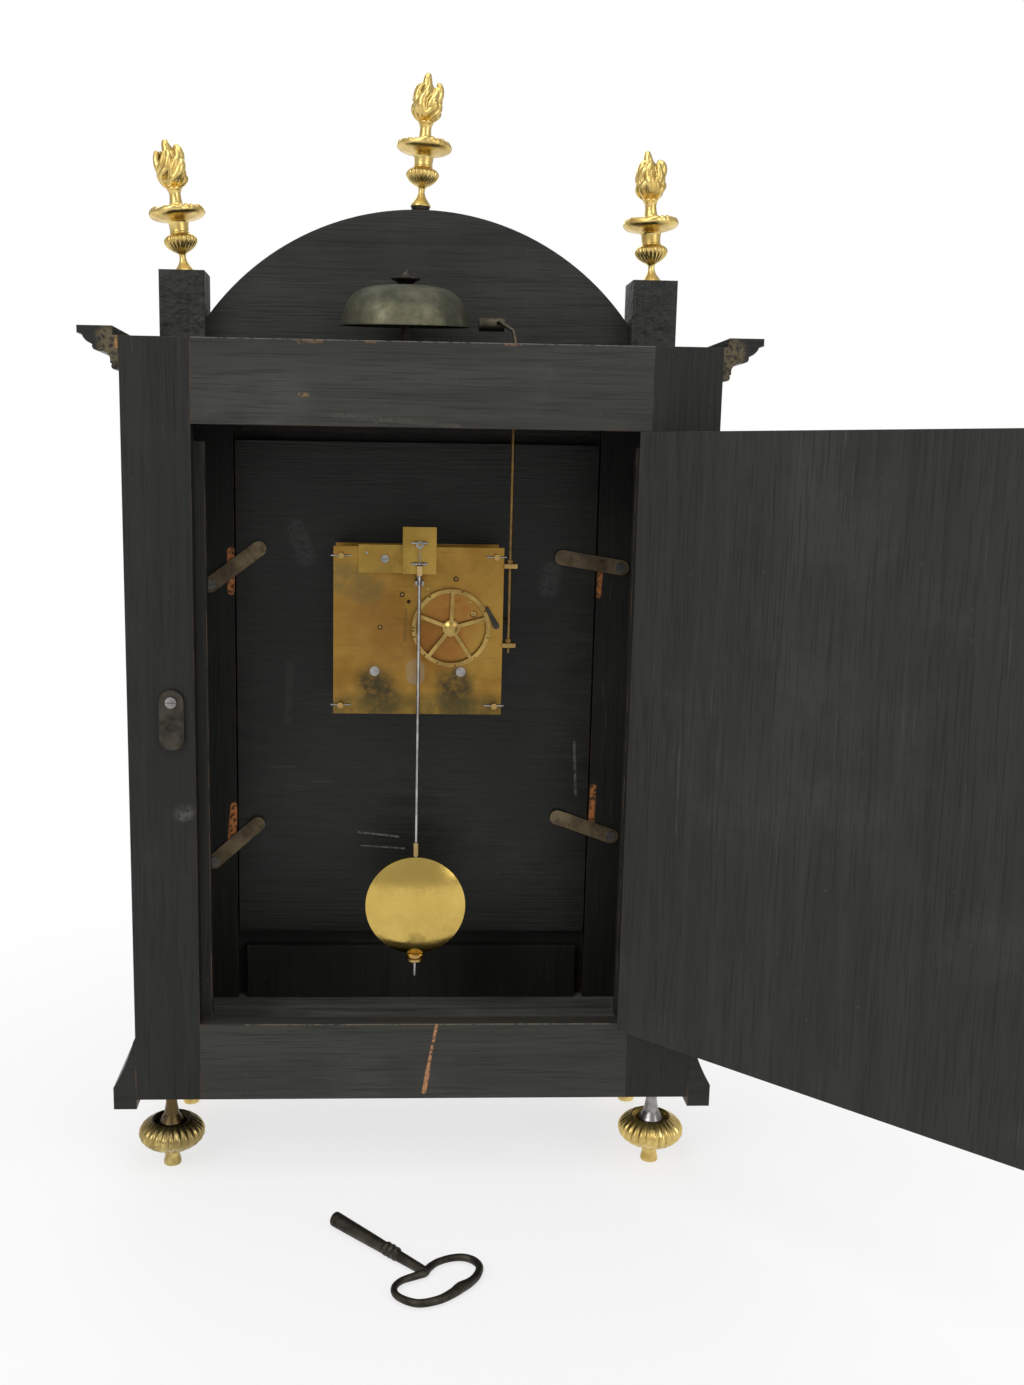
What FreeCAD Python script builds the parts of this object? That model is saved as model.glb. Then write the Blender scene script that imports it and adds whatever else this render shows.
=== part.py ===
import FreeCAD, Part
import math
import os
import Sketcher
from FreeCAD import Placement, Rotation, Vector

# Bracket clock with a wooden case, seen from behind in use.
# +Z is up, the table is at Z = 0, X = 0 is the plane of symmetry, the dial faces -Y and the
# rear door opens towards +Y.  All lengths are millimetres and all angles are degrees.

SIZES = {
    # case
    "case_width": 330,
    "case_depth": 125,
    "foot_height": 52,
    "frame_height": 440,
    "stile_width": 38,
    "top_rail_height": 46,
    "bottom_rail_height": 47,
    "back_frame_thickness": 11,
    "side_thickness": 10,
    "top_board_thickness": 10,
    "floor_thickness": 10,
    "floor_rise": 13,
    "foot_block_size": 28,
    "stop_reach": 6,
    "stop_width": 12,
    "stop_thickness": 6.5,
    "stop_shortening": 9,
    # front frame, dial board and glazed door
    "front_frame_setback": 100,
    "front_frame_thickness": 14,
    "front_stile_width": 40,
    "front_bottom_rail": 36,
    "front_top_rail": 36,
    "rabbet_lip_thickness": 6,
    "rabbet_side_lip": 6,
    "rabbet_bottom_lip": 16.5,
    "rabbet_top_lip": 12,
    "board_bottom_gap": 10.5,
    "board_top_gap": 6,
    "board_side_gap": 1,
    "fascia_bottom_height": 38.4,
    "fascia_top_height": 18.4,
    "fascia_thickness": 10.5,
    "front_door_stile": 46,
    "front_door_rail": 40,
    "glass_thickness": 2,
    "glass_rabbet": 4.5,
    "glass_setback": 4,
    "door_clearance": 0.6,
    # rear door and its hinges
    "rear_door_thickness": 10,
    "rear_door_open_angle": 135.6,
    "hinge_height": 40,
    "hinge_inset": 45,
    "hinge_leaf_width": 14,
    "hinge_leaf_thickness": 0.8,
    "hinge_knuckle_radius": 1.9,
    "hinge_axis_offset": 2.2,
    "hinge_pin_radius": 0.9,
    "hinge_end_gap": 0.3,
    # mouldings
    "cornice_projection": 22,
    "cornice_height": 23,
    "cornice_rise": 5,
    "base_projection": 13.5,
    "base_height": 44,
    "base_drop": 6,
    "base_upright": 13.5,
    # pediment
    "arch_rise": 89,
    "arch_radius": 163,
    "arch_thickness": 14,
    "block_width": 27.5,
    "block_height": 48.5,
    "block_inset": 34,
    "block_setback": 0,
    "finial_height": 78,
    "finial_foot_radius": 7,
    "finial_neck_radius": 2.5,
    "finial_ball_radius": 10.5,
    "finial_stem_radius": 6.1,
    "finial_pan_radius": 17.4,
    "finial_upper_neck_radius": 3.7,
    "finial_flame_radius": 10.8,
    "finial_spigot_radius": 2,
    "finial_spigot_length": 10,
    "finial_plug_height": 3,
    # feet
    "foot_inset_x": 17,
    "foot_inset_y": 22,
    "foot_ball_radius": 20,
    "foot_ball_height": 17,
    "foot_ball_centre": 21,
    "foot_peg_radius": 5.3,
    "foot_rod_radius": 3.4,
    # small hardware of the case
    "button_inset": 25.1,
    "button_rise": 20,
    "button_length": 34.5,
    "button_width": 14,
    "button_thickness": 2.5,
    "latch_inset": 35.5,
    "latch_length": 48,
    "latch_width": 9.5,
    "latch_thickness": 1.6,
    "latch_pivot_inset": 5.5,
    "latch_tip_length": 9,
    "latch_tip_lift": 1.2,
    "latch_upper_left_rise": 78.3,
    "latch_upper_left_angle": 36.9,
    "latch_upper_right_rise": 91.9,
    "latch_upper_right_angle": 9.2,
    "latch_lower_left_rise": -102.4,
    "latch_lower_left_angle": 41.8,
    "latch_lower_right_rise": -84.6,
    "latch_lower_right_angle": 19.7,
    "screw_head_radius": 3.2,
    "screw_head_height": 1.4,
    "screw_shank_radius": 1.5,
    "screw_length": 8,
    "seat_gap": 0.3,
    "running_clearance": 0.05,
    # movement
    "plate_width": 101.8,
    "plate_height": 101,
    "plate_centre_rise": -7.5,
    "plate_thickness": 2.5,
    "plate_spacing": 36,
    "movement_setback": 50,
    "pillar_offset_x": 46.4,
    "pillar_offset_z": 45,
    "pillar_radius": 2.8,
    "pillar_end_radius": 1.8,
    "pillar_end_length": 4,
    "taper_pin_radius": 0.6,
    "taper_pin_length": 12,
    "arbor_radius": 0.8,
    "pivot_radius": 0.6,
    "end_shake": 0.2,
    "wheel_thickness": 1.5,
    "centre_rise": 63,
    "barrel_offset_x": 26,
    "barrel_rise": -32,
    "barrel_teeth": 84,
    "barrel_radius": 21.5,
    "barrel_length": 20,
    "barrel_wall": 1.2,
    "barrel_arbor_radius": 3.2,
    "winding_pivot_radius": 2.9,
    "winding_square": 4,
    "winding_square_projection": 2,
    "great_wheel_thickness": 2,
    "great_wheel_inset": 6,
    "intermediate_wheel_inset": 3,
    "centre_wheel_inset": 16,
    "third_wheel_inset": 11.5,
    "escape_wheel_thickness": 1.2,
    "escape_wheel_inset": 5.8,
    "second_wheel_inset": 2.5,
    "pin_wheel_inset": 10,
    "fly_inset": 9,
    "pinion_overlap": 1,
    "intermediate_x": 22.9,
    "intermediate_rise": -5.3,
    "intermediate_teeth": 72,
    "slow_pinion_leaves": 12,
    "third_x": 9.8,
    "third_rise": 14.5,
    "centre_teeth": 84,
    "fast_pinion_leaves": 7,
    "escape_x": -5.5,
    "escape_rise": 18,
    "third_teeth": 74,
    "escape_teeth": 30,
    "pallet_rise": 37,
    "escape_tooth_depth": 2.4,
    "pallet_gap": 0.35,
    "second_x": -19.6,
    "second_rise": -5,
    "second_teeth": 72,
    "strike_pinion_leaves": 8,
    "pin_wheel_x": -31.5,
    "pin_wheel_rise": 10.3,
    "pin_wheel_teeth": 64,
    "pin_count": 10,
    "pin_circle_radius": 11.5,
    "lifting_pin_radius": 0.6,
    "lifting_pin_length": 4.5,
    "fly_x": -22.3,
    "fly_rise": 24.1,
    "fly_radius": 7.5,
    "fly_length": 9,
    "count_wheel_radius": 23.4,
    "count_wheel_rim": 2.4,
    "count_notch_depth": 1.3,
    "count_wheel_standoff": 2.5,
    "detent_x": -46.6,
    "detent_rise": -3.3,
    # dial work
    "dial_radius": 78,
    "dial_inner_radius": 52,
    "dial_thickness": 1.2,
    "motion_centre_distance": 15,
    "cannon_leaves": 12,
    "minute_wheel_teeth": 36,
    "minute_pinion_leaves": 12,
    "hour_wheel_teeth": 48,
    "cannon_pipe_radius": 1.9,
    "hour_pipe_radius": 3.2,
    "minute_hand_length": 71,
    "hour_hand_length": 50,
    "hand_thickness": 1,
    "hand_spacing": 1.5,
    "hand_standoff": 3,
    "motion_wheel_gap": 1,
    # suspension and pendulum
    "cock_width": 19.8,
    "cock_bottom_rise": 27.6,
    "cock_height": 27.5,
    "cock_standoff": 8,
    "cock_foot_length": 26,
    "cock_foot_height": 16.6,
    "cock_screw_x": 20.3,
    "cock_screw_rise": 35.9,
    "cock_screw_radius": 1.2,
    "steady_pin_x": 31,
    "steady_pin_rise": 39.3,
    "steady_pin_radius": 0.8,
    "suspension_rise": 45,
    "pendulum_setback": 36.5,
    "spring_width": 4,
    "spring_thickness": 0.3,
    "spring_length": 14,
    "rod_radius": 1,
    "ferrule_rise": -139,
    "bob_rise": -174.5,
    "bob_radius": 30.5,
    "bob_thickness": 14,
    "nut_thickness": 5,
    "nut_radius": 5.5,
    "pendulum_swing": 3,
    "rod_end_rise": -219.5,
    "crutch_rise": 22.5,
    # bell and hammer
    "bell_x": 9.5,
    "bell_setback": 65,
    "bell_radius": 38.3,
    "bell_rim_rise": 14.5,
    "bell_depth": 24,
    "bell_wall": 2,
    "bell_post_width": 5,
    "bell_stud_radius": 1.8,
    "hammer_x": -54.7,
    "hammer_head_radius": 4,
    "hammer_head_length": 15,
    "hammer_head_rise": 2,
    "hammer_head_gap": 5.2,
    "hammer_rod_radius": 1.1,
    "hammer_bottom_rise": -20,
    "upper_cock_rise": 31,
    "lower_cock_rise": -16.6,
    "hammer_cock_thickness": 2.5,
    "hammer_tail_rise": 0.5,
    "hammer_tail_x": -40.5,
    "hammer_tail_y": -12,
    # winding key
    "key_tube_radius": 4.15,
    "key_tube_length": 50,
    "key_socket_depth": 12,
    "key_socket_clearance": 0.3,
    "key_bow_length": 34,
    "key_bow_width": 52,
    "key_bow_wire": 2,
    "key_x": 45.6,
    "key_y": 112.8,
    "key_turn": 135,
}

# places that follow the case, and heights in the movement that follow the centre arbor
PLACES = {
    "case_middle": "foot_height + frame_height / 2",
    "foot_offset_x": "case_width / 2 - foot_inset_x",
    "foot_offset_y": "case_depth / 2 - foot_inset_y",
    "block_inner_offset": "case_width / 2 - block_inset",
    "button_offset_x": "case_width / 2 - button_inset",
    "button_height": "case_middle + button_rise",
    "latch_offset_x": "case_width / 2 - latch_inset",
    "latch_upper_left_height": "case_middle + latch_upper_left_rise",
    "latch_upper_right_height": "case_middle + latch_upper_right_rise",
    "latch_lower_left_height": "case_middle + latch_lower_left_rise",
    "latch_lower_right_height": "case_middle + latch_lower_right_rise",
    "centre_height": "case_middle + centre_rise",
    "bell_rim_height": "foot_height + frame_height + bell_rim_rise",
    "hammer_head_height": "bell_rim_height + hammer_head_rise",
}
for name in ("plate_centre", "barrel", "intermediate", "third", "escape", "pallet", "second",
             "pin_wheel", "fly", "detent", "cock_bottom", "cock_screw", "steady_pin",
             "suspension", "crutch", "upper_cock", "lower_cock", "hammer_tail", "hammer_bottom",
             "ferrule", "bob", "rod_end"):
    PLACES[f"{name}_height"] = f"centre_height + {name}_rise"

doc = FreeCAD.newDocument("BracketClock")
sheet = doc.addObject("Spreadsheet::Sheet", "Sizes")
for row, (alias, size) in enumerate([*SIZES.items(), *PLACES.items()], start=1):
    sheet.set(f"A{row}", alias)
    sheet.set(f"B{row}", f"={size}")
    sheet.setAlias(f"B{row}", alias)
doc.recompute()
S = {alias: float(sheet.get(alias)) for alias in [*SIZES, *PLACES]}
pieces = {}


# ---------------------------------------------------------------- helpers

def keep(label, obj):
    """Name a finished sub-part and put it on the list of pieces."""
    obj.Label = label
    pieces[label] = obj
    return obj


def bind(obj, **expressions):
    """Bind properties to the sheet; place=(x, y, z) binds the placement's base."""
    place = expressions.pop("place", None)
    for name, text in expressions.items():
        obj.setExpression(name, text)
    if place:
        for axis, text in zip("xyz", place):
            obj.setExpression(f"Placement.Base.{axis}", text)
    return obj


def ref(text):
    """Prefix each alias in a formula with the sheet's name."""
    words = text.replace("(", " ( ").replace(")", " ) ").split()
    return " ".join(f"Sizes.{w}" if w in S else w for w in words)


def board(name, x, y, z):
    """A box between two formulas on each axis, bound to the sheet."""
    obj = doc.addObject("Part::Box", name)
    for prop, (low, high) in zip(("Length", "Width", "Height"), (x, y, z)):
        obj.setExpression(prop, ref(f"( {high} ) - ( {low} )"))
    bind(obj, place=[ref(low) for low, high in (x, y, z)])
    return obj


def rod(name, axis, radius, start, length):
    """A cylinder from start along +X, +Y or +Z, bound to the sheet."""
    obj = doc.addObject("Part::Cylinder", name)
    obj.setExpression("Radius", ref(radius))
    obj.setExpression("Height", ref(length))
    turn = {"x": Rotation(Vector(0, 1, 0), 90), "y": Rotation(Vector(1, 0, 0), -90), "z": Rotation()}
    obj.Placement = Placement(Vector(), turn[axis])
    bind(obj, place=[ref(text) for text in start])
    return obj


def cut(name, base, tools):
    """Base less one tool or several."""
    tool = tools[0]
    if len(tools) > 1:
        tool = doc.addObject("Part::MultiFuse", name + "_tools")
        tool.Shapes = tools
    obj = doc.addObject("Part::Cut", name)
    obj.Base = base
    obj.Tool = tool
    return obj


def fuse(name, parts):
    obj = doc.addObject("Part::MultiFuse", name)
    obj.Shapes = parts
    return obj


def group(name, parts):
    """Separate solids that share one node."""
    obj = doc.addObject("Part::Compound", name)
    obj.Links = parts
    return obj


def feature(name, shape, x=0, y=0, z=0, rotation=None):
    """A piece whose shape is made with Part's functions about its own reference point."""
    obj = doc.addObject("Part::Feature", name)
    obj.Shape = shape
    obj.Placement = Placement(Vector(x, y, z), rotation or Rotation())
    return obj


def prism_y(points, thickness, y=0):
    """A prism along +Y on an outline given as (x, z) points."""
    corners = [Vector(px, y, pz) for px, pz in points]
    return Part.Face(Part.makePolygon(corners + corners[:1])).extrude(Vector(0, thickness, 0))


def disc_y(radius, thickness, y=0, x=0, z=0):
    return Part.makeCylinder(radius, thickness, Vector(x, y, z), Vector(0, 1, 0))


def turned(profile, axis=Vector(0, 0, 1)):
    """A solid of revolution about Z from (radius, height) points; a triple (r, z, bulge) gives
    the middle of an arc that leads to the next point."""
    edges = []
    ring = profile + profile[:1]
    i = 0
    while i < len(ring) - 1:
        start = Vector(ring[i][0], 0, ring[i][1])
        if i + 1 < len(ring) - 1 and len(ring[i + 1]) == 3:
            middle = Vector(ring[i + 1][0], 0, ring[i + 1][1])
            end = Vector(ring[i + 2][0], 0, ring[i + 2][1])
            edges.append(Part.Arc(start, middle, end).toShape())
            i += 2
        else:
            end = Vector(ring[i + 1][0], 0, ring[i + 1][1])
            edges.append(Part.LineSegment(start, end).toShape())
            i += 1
    return Part.Face(Part.Wire(edges)).revolve(Vector(), axis, 360)


def wire_rod(points, radius):
    """Straight runs of round wire with a ball at each bend."""
    runs = []
    for a, b in zip(points, points[1:]):
        a, b = Vector(*a), Vector(*b)
        runs.append(Part.makeCylinder(radius, (b - a).Length, a, b - a))
    balls = [Part.makeSphere(radius, Vector(*p)) for p in points[1:-1]]
    return runs[0].multiFuse(runs[1:] + balls).removeSplitter()


def origin_plane(body, role):
    return next(f for f in body.Origin.OriginFeatures if f.Role == role)


def dimensioned_polygon(sketch, points):
    """Lines through points given as pairs of formulas, each fixed from the sketch's origin."""
    lines = []
    values = [(value_of(px), value_of(pz)) for px, pz in points]
    for (x1, z1), (x2, z2) in zip(values, values[1:] + values[:1]):
        lines.append(sketch.addGeometry(Part.LineSegment(Vector(x1, z1, 0), Vector(x2, z2, 0)), False))
    for a, b in zip(lines, lines[1:] + lines[:1]):
        sketch.addConstraint(Sketcher.Constraint("Coincident", a, 2, b, 1))
    for line, (px, pz), (vx, vz) in zip(lines, points, values):
        for kind, text, size, axis in (("DistanceX", px, vx, -2), ("DistanceY", pz, vz, -1)):
            if abs(size) < 1e-9:
                sketch.addConstraint(Sketcher.Constraint("PointOnObject", line, 1, axis))
                continue
            index = sketch.addConstraint(Sketcher.Constraint(kind, -1, 1, line, 1, size))
            sketch.setExpression(f"Constraints[{index}]", ref(text))


def dimensioned_circle(sketch, x, z, radius):
    """A circle whose centre and radius are formulas."""
    vx, vz, size = (value_of(text) for text in (x, z, radius))
    circle = sketch.addGeometry(Part.Circle(Vector(vx, vz, 0), Vector(0, 0, 1), size), False)
    index = sketch.addConstraint(Sketcher.Constraint("Radius", circle, size))
    sketch.setExpression(f"Constraints[{index}]", ref(radius))
    for kind, text, place, axis in (("DistanceX", x, vx, -2), ("DistanceY", z, vz, -1)):
        if abs(place) < 1e-9:
            sketch.addConstraint(Sketcher.Constraint("PointOnObject", circle, 3, axis))
            continue
        index = sketch.addConstraint(Sketcher.Constraint(kind, -1, 1, circle, 3, place))
        sketch.setExpression(f"Constraints[{index}]", ref(text))


probe = doc.addObject("App::FeaturePython", "probe")
probe.addProperty("App::PropertyFloat", "Value")


def value_of(text):
    """The present value of a formula of the sheet."""
    probe.setExpression("Value", ref(str(text)))
    probe.recompute()
    return probe.Value


def plate_body(name, outline, thickness, back, holes=()):
    """An upright plate: a padded outline with round holes, its rear face at Y = back."""
    body = doc.addObject("PartDesign::Body", name)
    sketch = body.newObject("Sketcher::SketchObject", name + "_outline")
    sketch.AttachmentSupport = [(origin_plane(body, "XZ_Plane"), "")]
    sketch.MapMode = "FlatFace"
    dimensioned_polygon(sketch, outline)
    for x, z, radius in holes:
        dimensioned_circle(sketch, x, z, radius)
    pad = body.newObject("PartDesign::Pad", name + "_pad")
    pad.Profile = sketch
    pad.setExpression("Length", ref(thickness))
    sketch.Visibility = False
    body.setExpression("Placement.Base.y", ref(back))
    return body


# ---------------------------------------------------------------- levels and planes

half_width = "case_width / 2"
back = "case_depth / 2"
front = "0 - case_depth / 2"
case_top = "foot_height + frame_height"
frame_plane = "case_depth / 2 - back_frame_thickness"
inner_side = "case_width / 2 - side_thickness"
opening_half = "case_width / 2 - stile_width"
opening_bottom = "foot_height + bottom_rail_height"
opening_top = "foot_height + frame_height - top_rail_height"
floor_top = "foot_height + floor_rise + floor_thickness"
board_under = "foot_height + frame_height - top_board_thickness"
board_plane = "case_depth / 2 - front_frame_setback"
lip_plane = "case_depth / 2 - front_frame_setback - front_frame_thickness + rabbet_lip_thickness"
frame_front = "case_depth / 2 - front_frame_setback - front_frame_thickness"
fascia_plane = "fascia_thickness - case_depth / 2"
plate_back = "case_depth / 2 - movement_setback"

HALF = S["case_width"] / 2
BACK = S["case_depth"] / 2
CASE_TOP = S["foot_height"] + S["frame_height"]
OPENING_HALF = HALF - S["stile_width"]
OPENING_BOTTOM = S["foot_height"] + S["bottom_rail_height"]
OPENING_TOP = CASE_TOP - S["top_rail_height"]
BOARD_BACK = BACK - S["front_frame_setback"]
BOARD_FRONT = BOARD_BACK - S["front_frame_thickness"] + S["rabbet_lip_thickness"]
PLATE_BACK = BACK - S["movement_setback"]
PLATE_INSIDE = PLATE_BACK - S["plate_thickness"]
FRONT_PLATE_INSIDE = PLATE_INSIDE - S["plate_spacing"]
FRONT_PLATE_FRONT = FRONT_PLATE_INSIDE - S["plate_thickness"]
CLEAR = S["running_clearance"]
GAP = S["seat_gap"]


# ---------------------------------------------------------------- carcase

def mirrored_pair(name, x, y, z):
    """The same board on both sides of the plane of symmetry."""
    low, high = x
    right = board(name + "_plus", (low, high), y, z)
    left = board(name + "_minus", (f"0 - ( {high} )", f"0 - ( {low} )"), y, z)
    return [left, right]


full_height = ("foot_height", case_top)
behind_fascia = (fascia_plane, frame_plane)

stile_minus, stile_plus = mirrored_pair("stile", (opening_half, half_width), (frame_plane, back), full_height)
button_bore = rod("button_bore", "y", "screw_shank_radius",
                  ("button_offset_x", f"{back} - screw_length", "button_height"), "screw_length")
keep("back_stiles", group("stiles", [cut("stile_bored", stile_plus, [button_bore]), stile_minus]))
keep("back_rails", group("rails", [
    board("bottom_rail", (f"0 - ( {opening_half} )", opening_half), (frame_plane, back),
          ("foot_height", opening_bottom)),
    board("top_rail", (f"0 - ( {opening_half} )", opening_half), (frame_plane, back),
          (opening_top, case_top))]))
keep("door_stops", group("stops", mirrored_pair(
    "stop", (f"{opening_half} - stop_reach", f"{opening_half} - stop_reach + stop_width"),
    (f"{frame_plane} - stop_thickness", frame_plane),
    (opening_bottom, f"{opening_top} - stop_shortening"))))
keep("side_panels", group("sides", mirrored_pair(
    "side", (inner_side, half_width), (front, frame_plane), full_height)))

top_blank = board("top_blank", (f"0 - ( {inner_side} )", inner_side), behind_fascia,
                  (board_under, case_top))
hammer_y = "case_depth / 2 - movement_setback - plate_thickness / 2"
bell_y = "case_depth / 2 - bell_setback"
hammer_hole = rod("hammer_hole", "z", "hammer_rod_radius * 3", ("hammer_x", hammer_y, board_under),
                  "top_board_thickness")
bell_hole = rod("bell_hole", "z", "bell_post_width / 2 - 0.3 + running_clearance",
                ("bell_x", bell_y, board_under), "top_board_thickness")
keep("top_board", cut("top_with_holes", top_blank, [hammer_hole, bell_hole]))

floor_parts = [board("floor_blank", (f"0 - ( {inner_side} )", inner_side), behind_fascia,
                     ("foot_height + floor_rise", floor_top))]
for index, (sx, sy) in enumerate(((1, 1), (-1, 1), (-1, -1), (1, -1))):
    x_low = f"{inner_side} - foot_block_size" if sx > 0 else f"0 - ( {inner_side} )"
    x_high = inner_side if sx > 0 else f"foot_block_size - ( {inner_side} )"
    y_low = f"{frame_plane} - foot_block_size" if sy > 0 else fascia_plane
    y_high = frame_plane if sy > 0 else f"{fascia_plane} + foot_block_size"
    block = board(f"foot_block_{index}", (x_low, x_high), (y_low, y_high),
                  ("foot_height", "foot_height + floor_rise"))
    bore = rod(f"foot_bore_{index}", "z", "foot_rod_radius + running_clearance",
               (f"{sx} * foot_offset_x", f"{sy} * foot_offset_y", "foot_height"), "floor_rise")
    floor_parts.append(cut(f"foot_block_bored_{index}", block, [bore]))
keep("floor_board", group("floor_and_blocks", floor_parts))


# ---------------------------------------------------------------- front frame and dial board

frame_inside = "case_width / 2 - side_thickness - front_stile_width"
fascia_bottom = "foot_height + fascia_bottom_height"
fascia_top = "foot_height + frame_height - fascia_top_height"
rail_top = f"{floor_top} + front_bottom_rail"
rail_under = f"{board_under} - front_top_rail"
frame_depth = (frame_front, board_plane)
lip_depth = (frame_front, lip_plane)

front_parts = []
for sign, name in ((1, "plus"), (-1, "minus")):
    spans = ((frame_inside, inner_side), (f"{frame_inside} - rabbet_side_lip", frame_inside))
    if sign < 0:
        spans = [(f"0 - ( {high} )", f"0 - ( {low} )") for low, high in spans]
    front_parts.append(fuse(f"front_stile_{name}", [
        board(f"front_stile_bar_{name}", spans[0], frame_depth, (floor_top, board_under)),
        board(f"front_stile_lip_{name}", spans[1], lip_depth, (floor_top, board_under))]))
rail_span = (f"rabbet_side_lip - ( {frame_inside} )", f"{frame_inside} - rabbet_side_lip")
front_parts.append(fuse("front_rail_bottom", [
    board("front_rail_bottom_bar", rail_span, frame_depth, (floor_top, rail_top)),
    board("front_rail_bottom_lip", rail_span, lip_depth, (rail_top, f"{rail_top} + rabbet_bottom_lip"))]))
front_parts.append(fuse("front_rail_top", [
    board("front_rail_top_bar", rail_span, frame_depth, (rail_under, board_under)),
    board("front_rail_top_lip", rail_span, lip_depth, (f"{rail_under} - rabbet_top_lip", rail_under))]))
fascia_span = (f"0 - ( {inner_side} )", inner_side)
front_parts.append(board("fascia_bottom", fascia_span, (front, fascia_plane), ("foot_height", fascia_bottom)))
front_parts.append(board("fascia_top", fascia_span, (front, fascia_plane), (fascia_top, case_top)))

LATCHES = {
    "upper_left": (1, S["latch_upper_left_height"], S["latch_upper_left_angle"]),
    "upper_right": (-1, S["latch_upper_right_height"], S["latch_upper_right_angle"]),
    "lower_left": (1, S["latch_lower_left_height"], S["latch_lower_left_angle"]),
    "lower_right": (-1, S["latch_lower_right_height"], S["latch_lower_right_angle"]),
}
latch_bores = [
    rod(f"latch_bore_{name}", "y", "screw_shank_radius",
        (f"{side} * latch_offset_x", f"{board_plane} - screw_length", f"latch_{name}_height"), "screw_length")
    for name, (side, level, angle) in LATCHES.items()]
front_parts[0] = cut("front_stile_bored_plus", front_parts[0], [latch_bores[0], latch_bores[2]])
front_parts[1] = cut("front_stile_bored_minus", front_parts[1], [latch_bores[1], latch_bores[3]])
keep("front_frame", group("front_frame_group", front_parts))

board_half = f"{frame_inside} - board_side_gap"
board_low = f"{rail_top} + board_bottom_gap"
board_high = f"{rail_under} - board_top_gap"
dial_outline = [(f"0 - ( {board_half} )", board_low), (board_half, board_low),
                (board_half, board_high), (f"0 - ( {board_half} )", board_high)]
winding_hole = "winding_pivot_radius + 1.5"
keep("dial_board", plate_body(
    "dial_board", dial_outline, "front_frame_thickness - rabbet_lip_thickness", board_plane,
    [("0", "centre_height", "hour_pipe_radius + 1"),
     ("barrel_offset_x", "barrel_height", winding_hole),
     ("0 - barrel_offset_x", "barrel_height", winding_hole)]))
keep("chapter_ring", cut(
    "ring", rod("ring_blank", "y", "dial_radius",
                ("0", f"{lip_plane} - dial_thickness", "centre_height"), "dial_thickness"),
    [rod("ring_hole", "y", "dial_inner_radius",
         ("0", f"{lip_plane} - dial_thickness", "centre_height"), "dial_thickness")]))


# ---------------------------------------------------------------- glazed front door

door_half = f"{inner_side} - door_clearance"
door_low = f"{fascia_bottom} + door_clearance"
door_high = f"{fascia_top} - door_clearance"
door_y = (front, f"{fascia_plane} - door_clearance")
sight_half = f"{door_half} - front_door_stile"
sight_low = f"{door_low} + front_door_rail"
sight_high = f"{door_high} - front_door_rail"
door_bars = [
    board("front_door_stile_minus", (f"0 - ( {door_half} )", f"0 - ( {sight_half} )"), door_y,
          (door_low, door_high)),
    board("front_door_stile_plus", (sight_half, door_half), door_y, (door_low, door_high)),
    board("front_door_rail_low", (f"0 - ( {sight_half} )", sight_half), door_y, (door_low, sight_low)),
    board("front_door_rail_high", (f"0 - ( {sight_half} )", sight_half), door_y, (sight_high, door_high)),
]
rabbet = [
    board(f"glass_rabbet_{index}",
          (f"0 - ( {sight_half} ) - glass_rabbet", f"{sight_half} + glass_rabbet"),
          (f"{front} + glass_setback", f"{fascia_plane} - door_clearance"),
          (f"{sight_low} - glass_rabbet", f"{sight_high} + glass_rabbet")) for index in range(4)]
keep("front_door_frame", group("front_door_bars", [
    cut(f"front_door_bar_{index}", bar, [groove])
    for index, (bar, groove) in enumerate(zip(door_bars, rabbet))]))
keep("front_door_glass", board(
    "glass", (f"0 - ( {sight_half} ) - glass_rabbet + 0.3", f"{sight_half} + glass_rabbet - 0.3"),
    (f"{front} + glass_setback", f"{front} + glass_setback + glass_thickness"),
    (f"{sight_low} - glass_rabbet + 0.3", f"{sight_high} + glass_rabbet - 0.3")))


# ---------------------------------------------------------------- hinges and rear door

def hinge_leaf(turns_over, side):
    """One leaf with its knuckle on the +Z axis at its own origin; the leaf lies towards side * X,
    and its plane is one axis offset below Y = 0.  The upper knuckle belongs to the door."""
    reach = S["hinge_leaf_width"]
    half_height = S["hinge_height"] / 2
    radius = S["hinge_knuckle_radius"]
    offset = S["hinge_axis_offset"]
    clear = radius + S["hinge_end_gap"]
    low = S["hinge_end_gap"] / 2 if turns_over else -half_height
    length = half_height - S["hinge_end_gap"] / 2
    leaf = Part.makeBox(reach - clear, S["hinge_leaf_thickness"], 2 * half_height,
                        Vector(clear, -offset, -half_height))
    bridge = Part.makeBox(clear, S["hinge_leaf_thickness"], length, Vector(0, -offset, low))
    knuckle = Part.makeCylinder(radius, length, Vector(0, 0, low))
    shape = leaf.fuse(bridge).fuse(knuckle)
    if turns_over:
        bore = Part.makeCylinder(S["hinge_pin_radius"] + CLEAR, length, Vector(0, 0, low))
        shape = shape.cut(bore)
    else:
        pin = Part.makeCylinder(S["hinge_pin_radius"], 2 * half_height, Vector(0, 0, -half_height))
        shape = shape.fuse(pin)
    shape = shape.removeSplitter()
    if side < 0:
        shape = shape.mirror(Vector(), Vector(1, 0, 0))
    return shape


def hinge_pair(turns_over, side, levels, outward):
    """Two leaves on one axis, seen from the side that the door opens to."""
    leaves = []
    for level in levels:
        leaf = hinge_leaf(turns_over, side)
        if outward < 0:
            leaf = leaf.mirror(Vector(), Vector(0, 1, 0))
        leaf.translate(Vector(0, 0, level))
        leaves.append(leaf)
    return leaves


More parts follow.
